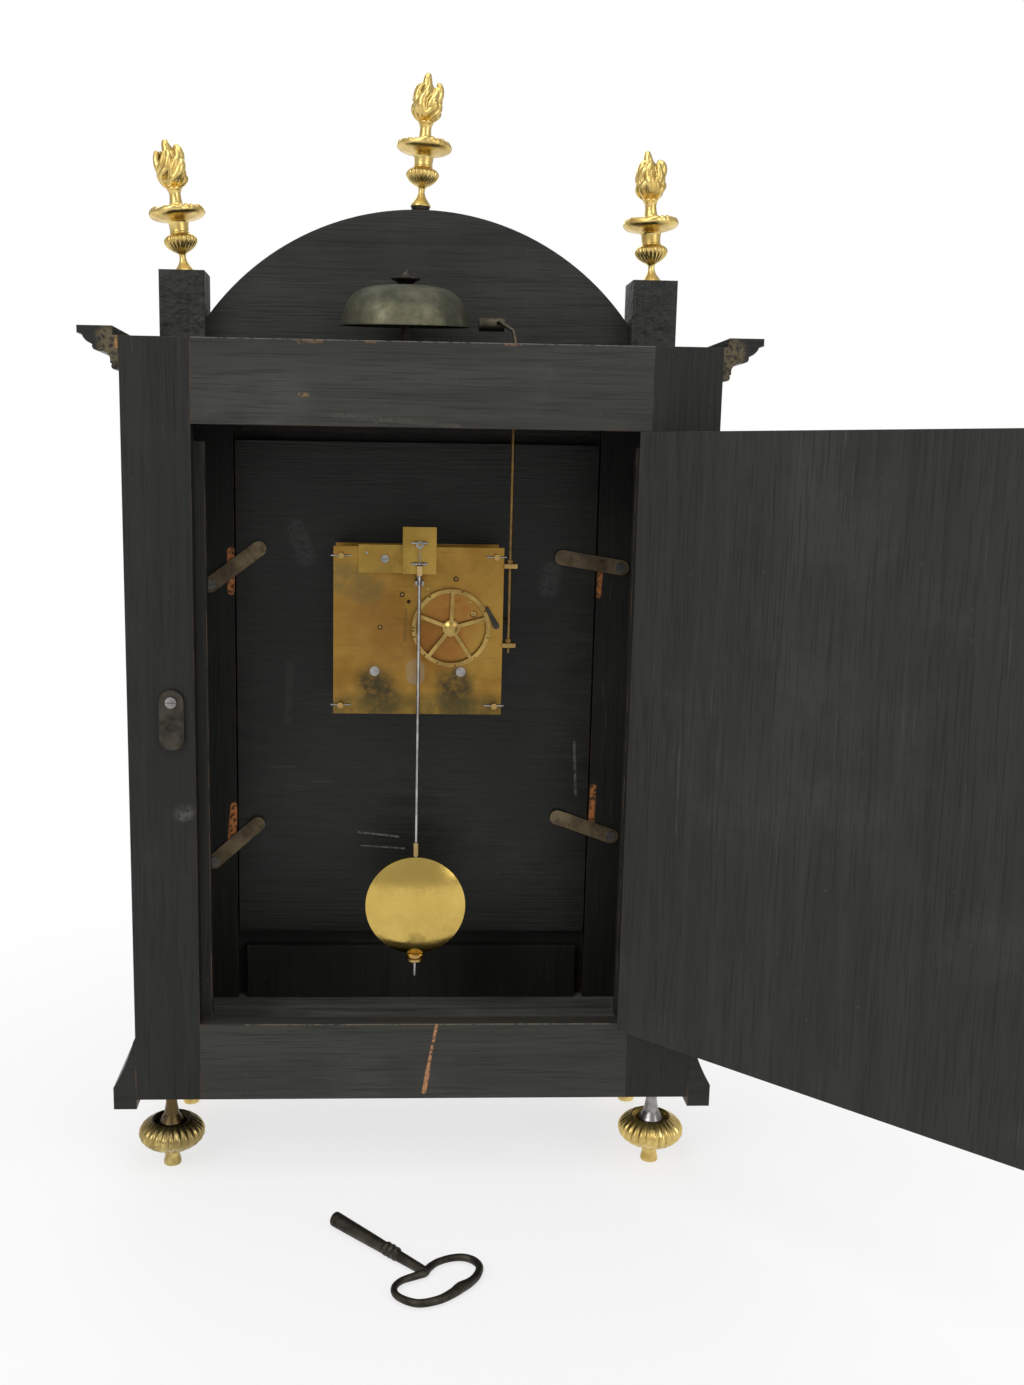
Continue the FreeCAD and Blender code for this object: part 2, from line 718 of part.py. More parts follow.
REAR_AXIS_X = -(OPENING_HALF - S["door_clearance"] / 2)
REAR_AXIS_Y = BACK + S["hinge_axis_offset"]
FRONT_AXIS_X = -(HALF - S["side_thickness"] - S["door_clearance"] / 2)
FRONT_AXIS_Y = -BACK - S["hinge_axis_offset"]
FRONT_DOOR_LOW = S["foot_height"] + S["fascia_bottom_height"] + S["door_clearance"]
FRONT_DOOR_HIGH = CASE_TOP - S["fascia_top_height"] - S["door_clearance"]
rear_levels = (OPENING_BOTTOM + S["hinge_inset"], OPENING_TOP - S["hinge_inset"])
front_levels = (FRONT_DOOR_LOW + S["hinge_inset"], FRONT_DOOR_HIGH - S["hinge_inset"])
door_turn = Rotation(Vector(0, 0, 1), S["rear_door_open_angle"])

front_jamb = []
for leaf in hinge_pair(False, 1, front_levels, -1):
    narrow = Part.makeBox(S["side_thickness"], 2 * BACK, 2 * CASE_TOP, Vector(-S["side_thickness"], -BACK, 0))
    front_jamb.append(leaf.mirror(Vector(), Vector(1, 0, 0)).common(narrow))
case_leaves = []
for leaf in hinge_pair(False, -1, rear_levels, 1):
    leaf.translate(Vector(REAR_AXIS_X, REAR_AXIS_Y, 0))
    case_leaves.append(leaf)
for leaf in front_jamb:
    leaf.translate(Vector(FRONT_AXIS_X, FRONT_AXIS_Y, 0))
    case_leaves.append(leaf)
keep("case_hinge_leaves", feature("case_leaves", Part.Compound(case_leaves)))
keep("rear_door_hinges", feature("rear_door_leaves", Part.Compound(hinge_pair(True, 1, rear_levels, 1)),
                                 REAR_AXIS_X, REAR_AXIS_Y, 0, door_turn))
keep("front_door_hinges", feature("front_door_leaves", Part.Compound(hinge_pair(True, 1, front_levels, -1)),
                                  FRONT_AXIS_X, FRONT_AXIS_Y, 0))

rear_door = doc.addObject("PartDesign::Body", "rear_door_body")
door_sketch = rear_door.newObject("Sketcher::SketchObject", "rear_door_outline")
door_sketch.AttachmentSupport = [(origin_plane(rear_door, "XZ_Plane"), "")]
door_sketch.MapMode = "FlatFace"
door_left = "door_clearance / 2"
door_right = f"2 * ( {opening_half} ) - 3 * door_clearance / 2"
rear_low = f"{opening_bottom} + door_clearance"
rear_high = f"{opening_top} - door_clearance"
dimensioned_polygon(door_sketch, [(door_left, rear_low), (door_right, rear_low),
                                  (door_right, rear_high), (door_left, rear_high)])
door_pad = rear_door.newObject("PartDesign::Pad", "rear_door_pad")
door_pad.Profile = door_sketch
door_pad.setExpression("Length", "Sizes.rear_door_thickness")
hung = Placement(Vector(REAR_AXIS_X, REAR_AXIS_Y, 0), door_turn)
rear_door.Placement = hung.multiply(Placement(Vector(0, -S["hinge_axis_offset"], 0), Rotation()))
keep("rear_door", rear_door)


# ---------------------------------------------------------------- mouldings

def arc_through(a, m, b):
    return Part.Arc(Vector(a[0], 0, a[1]), Vector(m[0], 0, m[1]), Vector(b[0], 0, b[1])).toShape()


def line_to(a, b):
    return Part.LineSegment(Vector(a[0], 0, a[1]), Vector(b[0], 0, b[1])).toShape()


def cornice_section():
    """Bead, cove, bead, ogee and lip, from the side of the case outwards."""
    reach = S["cornice_projection"]
    height = S["cornice_height"]
    u, v = reach / 22, height / 23
    p = [(0, 0), (2.5, 0), (3.6, 3), (4.6, 3.6), (10.4, 9.4), (11.6, 10), (13.8, 13), (15, 13.6),
         (19.4, 18.4), (reach / u, 19), (reach / u, 23), (3, 23), (3, 18), (0, 18)]
    p = [(x * u, z * v) for x, z in p]
    step = height - S["cornice_rise"]
    p[-2] = (p[-2][0], step)
    p[-1] = (0, step)
    bulge = {1: (3.8, 1.2), 3: (5.6, 8.0), 5: (13.6, 11.0), 7: (17.6, 15.4)}
    edges = []
    for i, a in enumerate(p):
        b = p[(i + 1) % len(p)]
        if i in bulge:
            edges.append(arc_through(a, (bulge[i][0] * u, bulge[i][1] * v), b))
        else:
            edges.append(line_to(a, b))
    return Part.Face(Part.Wire(edges))


def base_section():
    """An upright face with a hollowed slope above it."""
    reach = S["base_projection"]
    upright = S["base_upright"]
    height = S["base_height"]
    p = [(0, 0), (reach, 0), (reach, upright), (1.2, height - 1.5), (0, height)]
    hollow = ((reach + 1.2) / 2 - 0.8, (upright + height - 1.5) / 2 - 0.8)
    edges = [line_to(p[0], p[1]), line_to(p[1], p[2]), arc_through(p[2], hollow, p[3]),
             line_to(p[3], p[4]), line_to(p[4], p[0])]
    return Part.Face(Part.Wire(edges))


def moulding_run(section, reach, level):
    """Two returns and a front length, mitred at the front corners."""
    depth = S["case_depth"]
    far = reach + 1
    side = section.extrude(Vector(0, -(depth + far), 0))
    side.translate(Vector(HALF, BACK, level))
    corner = Vector(HALF, -BACK, 0)
    size = 2 * far
    wedge_points = [corner + Vector(-1, 1, 0), corner + Vector(size, -size, 0), corner + Vector(-1, -size, 0)]
    wedge = Part.Face(Part.makePolygon(wedge_points + wedge_points[:1])).extrude(Vector(0, 0, 2 * CASE_TOP))
    side = side.cut(wedge)
    other = side.mirror(Vector(), Vector(1, 0, 0))
    face = section.copy()
    face.rotate(Vector(), Vector(0, 0, 1), -90)
    face.translate(Vector(-HALF - far, -BACK, level))
    length = face.extrude(Vector(2 * (HALF + far), 0, 0))
    keep_points = [Vector(-HALF, -BACK, 0), Vector(HALF, -BACK, 0), corner + Vector(far, -far, 0),
                   Vector(-HALF - far, -BACK - far, 0)]
    keeper = Part.Face(Part.makePolygon(keep_points + keep_points[:1])).extrude(Vector(0, 0, 2 * CASE_TOP))
    return [side, other, length.common(keeper)]


keep("cornice", feature("cornice_run", Part.Compound(moulding_run(
    cornice_section(), S["cornice_projection"], CASE_TOP + S["cornice_rise"] - S["cornice_height"]))))
keep("base_moulding", feature("base_run", Part.Compound(moulding_run(
    base_section(), S["base_projection"], S["foot_height"] - S["base_drop"]))))


# ---------------------------------------------------------------- pediment and finials

BLOCK_IN = S["block_inner_offset"]
BLOCK_X = BLOCK_IN + S["block_width"] / 2
BLOCK_Y = -BACK + S["block_setback"] + S["block_width"] / 2
BLOCK_TOP = CASE_TOP + S["block_height"]
ARCH_TOP = CASE_TOP + S["arch_rise"]
ARCH_Y = -BACK + S["arch_thickness"] / 2
block_x = "block_inner_offset + block_width / 2"
block_y = "block_setback + block_width / 2 - case_depth / 2"
block_top = f"{case_top} + block_height"
blocks = []
for sign, name in ((1, "plus"), (-1, "minus")):
    span = ("block_inner_offset", "block_inner_offset + block_width")
    if sign < 0:
        span = ("0 - block_inner_offset - block_width", "0 - block_inner_offset")
    blank = board(f"block_blank_{name}", span,
                  (f"{front} + block_setback", f"{front} + block_setback + block_width"), (case_top, block_top))
    bore = rod(f"block_bore_{name}", "z", "finial_spigot_radius + running_clearance",
               (f"{sign} * ( {block_x} )", block_y, f"{block_top} - finial_spigot_length - 1"),
               "finial_spigot_length + 1")
    blocks.append(cut(f"block_{name}", blank, [bore]))
keep("finial_blocks", group("blocks", blocks))

arch_centre = f"{case_top} + arch_rise - arch_radius"
arch_disc = rod("arch_disc", "y", "arch_radius", ("0", front, arch_centre), "arch_thickness")
arch_limit = board("arch_limit", ("0 - block_inner_offset", "block_inner_offset"),
                   (front, f"{front} + arch_thickness"), (case_top, f"{case_top} + arch_rise + 1"))
arch_common = doc.addObject("Part::MultiCommon", "arch_common")
arch_common.Shapes = [arch_disc, arch_limit]
arch_bore = rod("arch_bore", "z", "finial_spigot_radius + running_clearance",
                ("0", f"{front} + arch_thickness / 2", f"{case_top} + arch_rise - finial_spigot_length - 1"),
                "finial_spigot_length + 2")
keep("arch_board", cut("arch", arch_common, [arch_bore]))


def finial_shape(plug_height):
    """A turned urn with a wide drip pan and a flame, on a spigot; its foot is at Z = 0."""
    total = S["finial_height"]
    foot = S["finial_foot_radius"]
    neck = S["finial_neck_radius"]
    ball = S["finial_ball_radius"]
    stem = S["finial_stem_radius"]
    pan = S["finial_pan_radius"]
    upper = S["finial_upper_neck_radius"]
    flame = S["finial_flame_radius"]
    spigot = S["finial_spigot_radius"]
    deep = S["finial_spigot_length"]

    def at(share):
        return share * total

    profile = [
        (0, -deep - plug_height), (spigot, -deep - plug_height), (spigot, 0), (foot, 0), (foot, at(0.022)),
        (neck + 0.8, at(0.055), 0), (neck, at(0.12)), (neck, at(0.15)), (neck + 2.2, at(0.175)),
        (ball, at(0.23), 0), (stem - 0.3, at(0.285)), (stem + 0.6, at(0.30)), (stem - 0.8, at(0.35)),
        (stem + 1.4, at(0.395)), (stem + 5.5, at(0.415)), (pan, at(0.455)), (pan, at(0.48)),
        (pan - 3.5, at(0.50)), (stem, at(0.515)), (upper, at(0.54), 0), (upper, at(0.60)),
        (upper + 1.6, at(0.63)), (upper + 1.6, at(0.65)), (upper, at(0.66)), (flame * 0.75, at(0.72)),
        (flame, at(0.80), 0), (flame * 0.62, at(0.90)), (flame * 0.25, at(0.97)), (0, at(1.0)),
    ]
    return turned(profile)


FINIALS = {
    "plus": (BLOCK_X, BLOCK_Y, BLOCK_TOP, 0),
    "minus": (-BLOCK_X, BLOCK_Y, BLOCK_TOP, 0),
    "centre": (0, ARCH_Y, ARCH_TOP + S["finial_plug_height"], S["finial_plug_height"]),
}
finials = []
for x, y, z, plug in FINIALS.values():
    shape = finial_shape(plug)
    if plug:
        collar = Part.makeCylinder(S["finial_foot_radius"] - 2, plug, Vector(0, 0, -plug))
        shape = shape.fuse(collar).removeSplitter()
    shape.translate(Vector(x, y, z))
    finials.append(shape)
keep("finials", feature("finial_set", Part.Compound(finials)))


# ---------------------------------------------------------------- feet

def foot_shape():
    """A flattened ball with a dished top on a short peg."""
    ball = S["foot_ball_radius"]
    half = S["foot_ball_height"] / 2
    middle = S["foot_ball_centre"]
    peg = S["foot_peg_radius"]
    bore = S["foot_rod_radius"] + CLEAR
    dish = ball * 0.62
    tilt = math.sqrt(0.5)
    profile = [
        (bore, middle - half * 0.2), (bore, middle + half * 0.45), (dish - 2, middle + half * 0.6),
        (dish, middle + half),
        (dish + (ball - dish) * tilt, middle + half * tilt, 0), (ball, middle),
        (dish + (ball - dish) * tilt, middle - half * tilt, 0), (dish, middle - half),
        (peg + 2, middle - half - 1), (peg, middle - half - 4), (peg, 0), (0, 0), (0, middle - half * 0.2),
    ]
    return turned(profile)


def foot_screw_shape():
    """An iron screw from the foot into the case, with a flared collar on the foot."""
    middle = S["foot_ball_centre"]
    seat = middle + S["foot_ball_height"] / 2 * 0.45
    radius = S["foot_rod_radius"]
    top = S["foot_height"] + S["floor_rise"]
    start = middle - S["foot_ball_height"] / 2 * 0.2
    profile = [(0, start), (radius, start), (radius, seat), (radius + 4, seat + 2.2), (radius + 4, seat + 3.4),
               (radius + 1.2, seat + 8), (radius, seat + 15), (radius, top), (0, top)]
    return turned(profile)


feet, foot_screws = [], []
for sx in (1, -1):
    for sy in (1, -1):
        spot = Vector(sx * S["foot_offset_x"], sy * S["foot_offset_y"], 0)
        for made, shape in ((feet, foot_shape()), (foot_screws, foot_screw_shape())):
            shape.translate(spot)
            made.append(shape)
keep("feet", feature("foot_set", Part.Compound(feet)))
keep("foot_screws", feature("foot_screw_set", Part.Compound(foot_screws)))


# ---------------------------------------------------------------- turn button, latches, their screws

def rounded_strip(length, width, thickness, tail):
    """A strip with round ends in the XZ plane, its pivot at the origin, lying along +X."""
    r = width / 2
    middle = Part.makeBox(length - width, thickness, width, Vector(r - tail, 0, -r))
    ends = [disc_y(r, thickness, x=r - tail), disc_y(r, thickness, x=length - tail - r)]
    return middle.multiFuse(ends).removeSplitter()


def button_shape():
    tail = S["button_width"] / 2
    strip = rounded_strip(S["button_length"], S["button_width"], S["button_thickness"], tail)
    return strip.cut(disc_y(S["screw_shank_radius"] + CLEAR, S["button_thickness"]))


button_turn = Rotation(Vector(0, 1, 0), 90)
keep("turn_button", feature("button", button_shape(), S["button_offset_x"], BACK + GAP,
                            S["button_height"], button_turn))


def latch_shape():
    """A brass strip that bears on the frame and the board, its finger tip stepped outwards."""
    inset = S["latch_pivot_inset"]
    flat = S["latch_length"] - S["latch_tip_length"]
    thick = S["latch_thickness"]
    width = S["latch_width"]
    r = width / 2
    heel = disc_y(r, thick, x=r - inset)
    strip = Part.makeBox(flat - r, thick, width, Vector(r - inset, 0, -r))
    lift = S["latch_tip_lift"]
    tip_box = Part.makeBox(S["latch_tip_length"] - r + 0.8, thick, width, Vector(flat - inset - 0.8, lift, -r))
    tip_end = disc_y(r, thick, y=lift, x=S["latch_length"] - inset - r)
    shape = strip.multiFuse([heel, tip_box, tip_end]).removeSplitter()
    return shape.cut(disc_y(S["screw_shank_radius"] + CLEAR, thick + lift))


def screw_shape(head_seat, shank):
    """A slotted round-headed screw along +Y; its shank's end is at Y = 0."""
    radius = S["screw_head_radius"]
    height = S["screw_head_height"]
    body = disc_y(S["screw_shank_radius"], shank + head_seat)
    head = disc_y(radius, height, y=shank + head_seat)
    slot = Part.makeBox(2 * radius, height / 2, 0.6, Vector(-radius, shank + head_seat + height / 2, -0.3))
    return body.fuse(head).removeSplitter().cut(slot)


screws = []
for name, (side, level, angle) in LATCHES.items():
    turn = Rotation(Vector(0, 1, 0), -(180 - angle) if side > 0 else -angle)
    keep(f"latch_{name}", feature(f"latch_{name}_strip", latch_shape(), side * S["latch_offset_x"],
                                  BOARD_BACK + GAP, level, turn))
    screw = screw_shape(S["latch_thickness"] + 2 * GAP, S["screw_length"])
    screw.translate(Vector(side * S["latch_offset_x"], BOARD_BACK - S["screw_length"], level))
    screws.append(screw)
button_screw = screw_shape(S["button_thickness"] + 2 * GAP, S["screw_length"])
button_screw.translate(Vector(S["button_offset_x"], BACK - S["screw_length"], S["button_height"]))
screws.append(button_screw)
keep("case_screws", feature("case_screw_set", Part.Compound(screws)))


# ---------------------------------------------------------------- wheelwork

def on_circle(radius, angle, x=0, z=0):
    return x + radius * math.cos(angle), z + radius * math.sin(angle)


WHEEL_FORM = {"addendum": 1.0, "dedendum": 1.25, "root": 0.42, "pitch": 0.36, "tip": 0.14}
PINION_FORM = {"addendum": 0.7, "dedendum": 1.35, "root": 0.32, "pitch": 0.36, "tip": 0.22}


def toothed(teeth, module, form, thickness, y, phase):
    """A toothed disc along +Y from y, with a tooth at the phase angle (from +X towards +Z)."""
    pitch_radius = teeth * module / 2
    step = 2 * math.pi / teeth
    low = pitch_radius - form["dedendum"] * module
    high = pitch_radius + form["addendum"] * module
    stations = ((low, -form["root"]), (pitch_radius, -form["pitch"]), (high, -form["tip"]),
                (high, form["tip"]), (pitch_radius, form["pitch"]), (low, form["root"]))
    points = [on_circle(radius, phase + (tooth + share / 2) * step)
              for tooth in range(teeth) for radius, share in stations]
    return prism_y(points, thickness, y)


def windows(inner, outer, arms, arm_width, thickness, y, phase=0.0):
    """The openings between the arms of a wheel."""
    made = []
    for arm in range(arms):
        edges = []
        start, end = phase + 2 * math.pi * arm / arms, phase + 2 * math.pi * (arm + 1) / arms
        bounds = []
        for radius in (inner, outer):
            lean = math.asin(arm_width / 2 / radius)
            bounds.append((start + lean, end - lean, radius))
        (a0, a1, ra), (b0, b1, rb) = bounds
        corners = [Vector(px, y, pz) for px, pz in (
            on_circle(ra, a0), on_circle(ra, (a0 + a1) / 2), on_circle(ra, a1),
            on_circle(rb, b1), on_circle(rb, (b0 + b1) / 2), on_circle(rb, b0))]
        edges.append(Part.Arc(corners[0], corners[1], corners[2]).toShape())
        edges.append(Part.LineSegment(corners[2], corners[3]).toShape())
        edges.append(Part.Arc(corners[3], corners[4], corners[5]).toShape())
        edges.append(Part.LineSegment(corners[5], corners[0]).toShape())
        made.append(Part.Face(Part.Wire(edges)).extrude(Vector(0, thickness, 0)))
    return made


def crossed_wheel(teeth, module, thickness, y, phase, arms=4, hub=4.0):
    """A wheel with a narrow rim, a hub and straight arms."""
    blank = toothed(teeth, module, WHEEL_FORM, thickness, y, phase)
    rim = teeth * module / 2 - WHEEL_FORM["dedendum"] * module - 1.6
    return blank.cut(Part.Compound(windows(hub, rim, arms, 2.0, thickness, y)))


SPOTS = {
    "centre": (0, S["centre_height"]),
    "going": (S["barrel_offset_x"], S["barrel_height"]),
    "strike": (-S["barrel_offset_x"], S["barrel_height"]),
    "intermediate": (S["intermediate_x"], S["intermediate_height"]),
    "third": (S["third_x"], S["third_height"]),
    "escape": (S["escape_x"], S["escape_height"]),
    "pallets": (0, S["pallet_height"]),
    "second": (S["second_x"], S["second_height"]),
    "pin_wheel": (S["pin_wheel_x"], S["pin_wheel_height"]),
    "fly": (S["fly_x"], S["fly_height"]),
    "detent": (S["detent_x"], S["detent_height"]),
    "motion": (0, S["centre_height"] - S["motion_centre_distance"]),
}


def mesh(driver, driven, wheel_teeth, leaves):
    """Module, wheel phase and pinion phase of a pair whose centres are two of the spots."""
    (x1, z1), (x2, z2) = SPOTS[driver], SPOTS[driven]
    module = 2 * math.hypot(x2 - x1, z2 - z1) / (wheel_teeth + leaves)
    towards = math.atan2(z2 - z1, x2 - x1)
    return module, towards, towards + math.pi + math.pi / leaves


THIN = S["wheel_thickness"]
GREAT = S["great_wheel_thickness"]
ESCAPE = S["escape_wheel_thickness"]
OVER = S["pinion_overlap"]

# the front face of each wheel; the insets count from the nearer plate
GREAT_Y = PLATE_INSIDE - S["great_wheel_inset"] - GREAT
INTERMEDIATE_Y = FRONT_PLATE_INSIDE + S["intermediate_wheel_inset"]
CENTRE_Y = FRONT_PLATE_INSIDE + S["centre_wheel_inset"]
THIRD_Y = PLATE_INSIDE - S["third_wheel_inset"] - THIN
ESCAPE_Y = PLATE_INSIDE - S["escape_wheel_inset"] - ESCAPE
SECOND_Y = PLATE_INSIDE - S["second_wheel_inset"] - THIN
PIN_WHEEL_Y = FRONT_PLATE_INSIDE + S["pin_wheel_inset"]


def pinion(leaves, module, phase, wheel_y, wheel_thickness):
    """The leaves that mesh with a wheel, a little longer than that wheel is thick."""
    return toothed(leaves, module, PINION_FORM, wheel_thickness + 2 * OVER, wheel_y - OVER, phase)


def arbor(front_radius=None, front_end=FRONT_PLATE_FRONT, rear_radius=None, rear_end=PLATE_BACK):
    """An arbor between the plates with a pivot at each end, on the Y axis."""
    shake = S["end_shake"]
    thick = disc_y(S["arbor_radius"], S["plate_spacing"] - 2 * shake, FRONT_PLATE_INSIDE + shake)
    front_pivot = disc_y(front_radius or S["pivot_radius"], FRONT_PLATE_INSIDE + shake - front_end, front_end)
    rear_start = PLATE_INSIDE - shake
    rear_pivot = disc_y(rear_radius or S["pivot_radius"], rear_end - rear_start, rear_start)
    return thick.multiFuse([front_pivot, rear_pivot])


def arbor_piece(label, spot, solids):
    """Everything that is fast on one arbor, as one solid."""
    x, z = SPOTS[spot]
    shape = solids[0].multiFuse(solids[1:]).removeSplitter()
    keep(label, feature(label + "_shape", shape, x, 0, z))


# going train
great_module, great_phase, great_driven = mesh("going", "intermediate", int(S["barrel_teeth"]),
                                               int(S["slow_pinion_leaves"]))
inter_module, inter_phase, inter_driven = mesh("intermediate", "centre", int(S["intermediate_teeth"]),
                                               int(S["slow_pinion_leaves"]))
centre_module, centre_phase, centre_driven = mesh("centre", "third", int(S["centre_teeth"]),
                                                  int(S["fast_pinion_leaves"]))
third_module, third_phase, third_driven = mesh("third", "escape", int(S["third_teeth"]),
                                               int(S["fast_pinion_leaves"]))
# striking train
strike_module, strike_phase, strike_driven = mesh("strike", "second", int(S["barrel_teeth"]),
                                                  int(S["slow_pinion_leaves"]))
second_module, second_phase, second_driven = mesh("second", "pin_wheel", int(S["second_teeth"]),
                                                  int(S["strike_pinion_leaves"]))
pin_module, pin_phase, pin_driven = mesh("pin_wheel", "fly", int(S["pin_wheel_teeth"]),
                                         int(S["strike_pinion_leaves"]))


def barrel_shape(module, phase):
    """A closed drum with the great wheel as its rear cap, bored for the winding arbor."""
    radius = S["barrel_radius"]
    wall = S["barrel_wall"]
    length = S["barrel_length"]
    drum = disc_y(radius, length, GREAT_Y - length)
    hollow = disc_y(radius - wall, length - wall, GREAT_Y - length + wall)
    wheel = toothed(int(S["barrel_teeth"]), module, WHEEL_FORM, GREAT, GREAT_Y, phase)
    bore = disc_y(S["barrel_arbor_radius"] + CLEAR, length + 2 * GREAT, GREAT_Y - length - GREAT / 2)
    return drum.cut(hollow).fuse(wheel).cut(bore)


def winding_arbor_shape():
    """An arbor with large pivots and a square for the key in front."""
    shake = S["end_shake"]
    side = S["winding_square"]
    pivot = S["winding_pivot_radius"]
    end = BOARD_FRONT - S["winding_square_projection"]
    shaft = disc_y(S["barrel_arbor_radius"], S["plate_spacing"] - 2 * shake, FRONT_PLATE_INSIDE + shake)
    front_pivot = disc_y(pivot, S["plate_thickness"] + shake + 1, FRONT_PLATE_FRONT - 1)
    rear_pivot = disc_y(pivot, S["plate_thickness"] + shake, PLATE_INSIDE - shake)
    square = Part.makeBox(side, FRONT_PLATE_FRONT - end, side, Vector(-side / 2, end, -side / 2))
    return shaft.multiFuse([front_pivot, rear_pivot, square]).removeSplitter()


for spot, module, phase in (("going", great_module, great_phase), ("strike", strike_module, strike_phase)):
    x, z = SPOTS[spot]
    keep(f"{spot}_barrel", feature(f"{spot}_barrel_shape", barrel_shape(module, phase), x, 0, z))
    keep(f"{spot}_winding_arbor", feature(f"{spot}_winding_shape", winding_arbor_shape(), x, 0, z))

arbor_piece("intermediate_wheel", "intermediate", [
    arbor(),
    crossed_wheel(int(S["intermediate_teeth"]), inter_module, THIN, INTERMEDIATE_Y, inter_phase),
    pinion(int(S["slow_pinion_leaves"]), great_module, great_driven, GREAT_Y, GREAT)])

HOUR_HAND_Y = BOARD_FRONT - S["hand_standoff"] - S["hand_thickness"]
MINUTE_HAND_Y = HOUR_HAND_Y - S["hand_spacing"] - S["hand_thickness"]
CENTRE_ARBOR_END = MINUTE_HAND_Y - S["hand_spacing"]
arbor_piece("centre_wheel", "centre", [
    arbor(front_radius=S["arbor_radius"], front_end=CENTRE_ARBOR_END),
    crossed_wheel(int(S["centre_teeth"]), centre_module, THIN, CENTRE_Y, centre_phase),
    pinion(int(S["slow_pinion_leaves"]), inter_module, inter_driven, INTERMEDIATE_Y, THIN)])

arbor_piece("third_wheel", "third", [
    arbor(),
    crossed_wheel(int(S["third_teeth"]), third_module, THIN, THIRD_Y, third_phase, hub=3.0),
    pinion(int(S["fast_pinion_leaves"]), centre_module, centre_driven, CENTRE_Y, THIN)])

PALLET_DISTANCE = math.hypot(SPOTS["escape"][0] - SPOTS["pallets"][0], SPOTS["escape"][1] - SPOTS["pallets"][1])
ESCAPE_RADIUS = PALLET_DISTANCE / math.sqrt(2)


def escape_wheel_shape():
    """Thin pointed teeth that lean one way, for the anchor's pallets."""
    teeth = int(S["escape_teeth"])
    step = 2 * math.pi / teeth
    root = ESCAPE_RADIUS - S["escape_tooth_depth"]
    points = []
    for tooth in range(teeth):
        angle = tooth * step
        points.append(on_circle(root, angle))
        points.append(on_circle(ESCAPE_RADIUS, angle + 0.16 * step))
        points.append(on_circle(ESCAPE_RADIUS, angle + 0.24 * step))
        points.append(on_circle(root, angle + 0.55 * step))
    blank = prism_y(points, ESCAPE, ESCAPE_Y)
    return blank.cut(Part.Compound(windows(2.5, root - 1.5, 4, 1.6, ESCAPE, ESCAPE_Y)))


arbor_piece("escape_wheel", "escape", [
    arbor(), escape_wheel_shape(),
    pinion(int(S["fast_pinion_leaves"]), third_module, third_driven, THIRD_Y, THIN)])

arbor_piece("pin_wheel", "pin_wheel", [
    arbor(),
    crossed_wheel(int(S["pin_wheel_teeth"]), pin_module, THIN, PIN_WHEEL_Y, pin_phase, hub=3.0)
    .fuse(disc_y(S["pin_circle_radius"] + 1.5, THIN, PIN_WHEEL_Y).cut(
        disc_y(S["pin_circle_radius"] - 1.5, THIN, PIN_WHEEL_Y))),
    pinion(int(S["strike_pinion_leaves"]), second_module, second_driven, SECOND_Y, THIN)]
    + [disc_y(S["lifting_pin_radius"], S["lifting_pin_length"], PIN_WHEEL_Y + THIN,
              *on_circle(S["pin_circle_radius"], 2 * math.pi * pin / int(S["pin_count"])))
       for pin in range(int(S["pin_count"]))])

FLY_Y = PLATE_INSIDE - S["fly_inset"] - S["fly_length"]
arbor_piece("fly", "fly", [
    arbor(),
    pinion(int(S["strike_pinion_leaves"]), pin_module, pin_driven, PIN_WHEEL_Y, THIN),
    disc_y(2, S["fly_length"], FLY_Y),
    Part.makeBox(2 * S["fly_radius"], S["fly_length"], 0.8, Vector(-S["fly_radius"], FLY_Y, -0.4))])

COUNT_Y = PLATE_BACK + S["count_wheel_standoff"]
COUNT_END = COUNT_Y + THIN + 1.2
arbor_piece("strike_second_wheel", "second", [
    arbor(rear_radius=S["arbor_radius"], rear_end=COUNT_END),
    crossed_wheel(int(S["second_teeth"]), second_module, THIN, SECOND_Y, second_phase),
    pinion(int(S["slow_pinion_leaves"]), strike_module, strike_driven, GREAT_Y, GREAT)])


def count_wheel_shape():
    """A rim with a notch after each number of strokes, on arms and a domed hub."""
    radius = S["count_wheel_radius"]
    depth = S["count_notch_depth"]
    blank = disc_y(radius, THIN, COUNT_Y)
    openings = windows(5.0, radius - S["count_wheel_rim"], 5, 2.2, THIN, COUNT_Y, 0.35)
    strokes = range(1, 13)
    total = sum(strokes)
    done = 0
    for count in strokes:
        done += count
        angle = math.degrees(2 * math.pi * done / total)
        notch = Part.makeBox(2 * depth, THIN, 1.0, Vector(radius - depth, COUNT_Y, -0.5))
        notch.rotate(Vector(), Vector(0, 1, 0), angle)
        openings.append(notch)
    hub_profile = [(5.0, 0), (4.6, 1.2), (2.2, 2.4), (0, 2.4), (0, -1.0), (3.0, -1.0), (3.0, 0)]
    hub = turned(hub_profile)
    hub.rotate(Vector(), Vector(1, 0, 0), -90)
    hub.translate(Vector(0, COUNT_Y, 0))
    wheel = blank.cut(Part.Compound(openings)).fuse(hub)
    bore = disc_y(S["arbor_radius"], 3 * THIN + COUNT_END - COUNT_Y, COUNT_Y - 2 * THIN)
    return wheel.cut(bore).removeSplitter()


x, z = SPOTS["second"]
keep("count_wheel", feature("count_wheel_shape", count_wheel_shape(), x, 0, z))

# detent: an arbor with a blade whose beak rides just outside the count wheel
def beside_count_wheel(distance, angle):
    """A point at this distance outside the count wheel's rim, seen from the detent's arbor."""
    px, pz = on_circle(S["count_wheel_radius"] + distance, math.radians(angle), *SPOTS["second"])
    return px - SPOTS["detent"][0], pz - SPOTS["detent"][1]


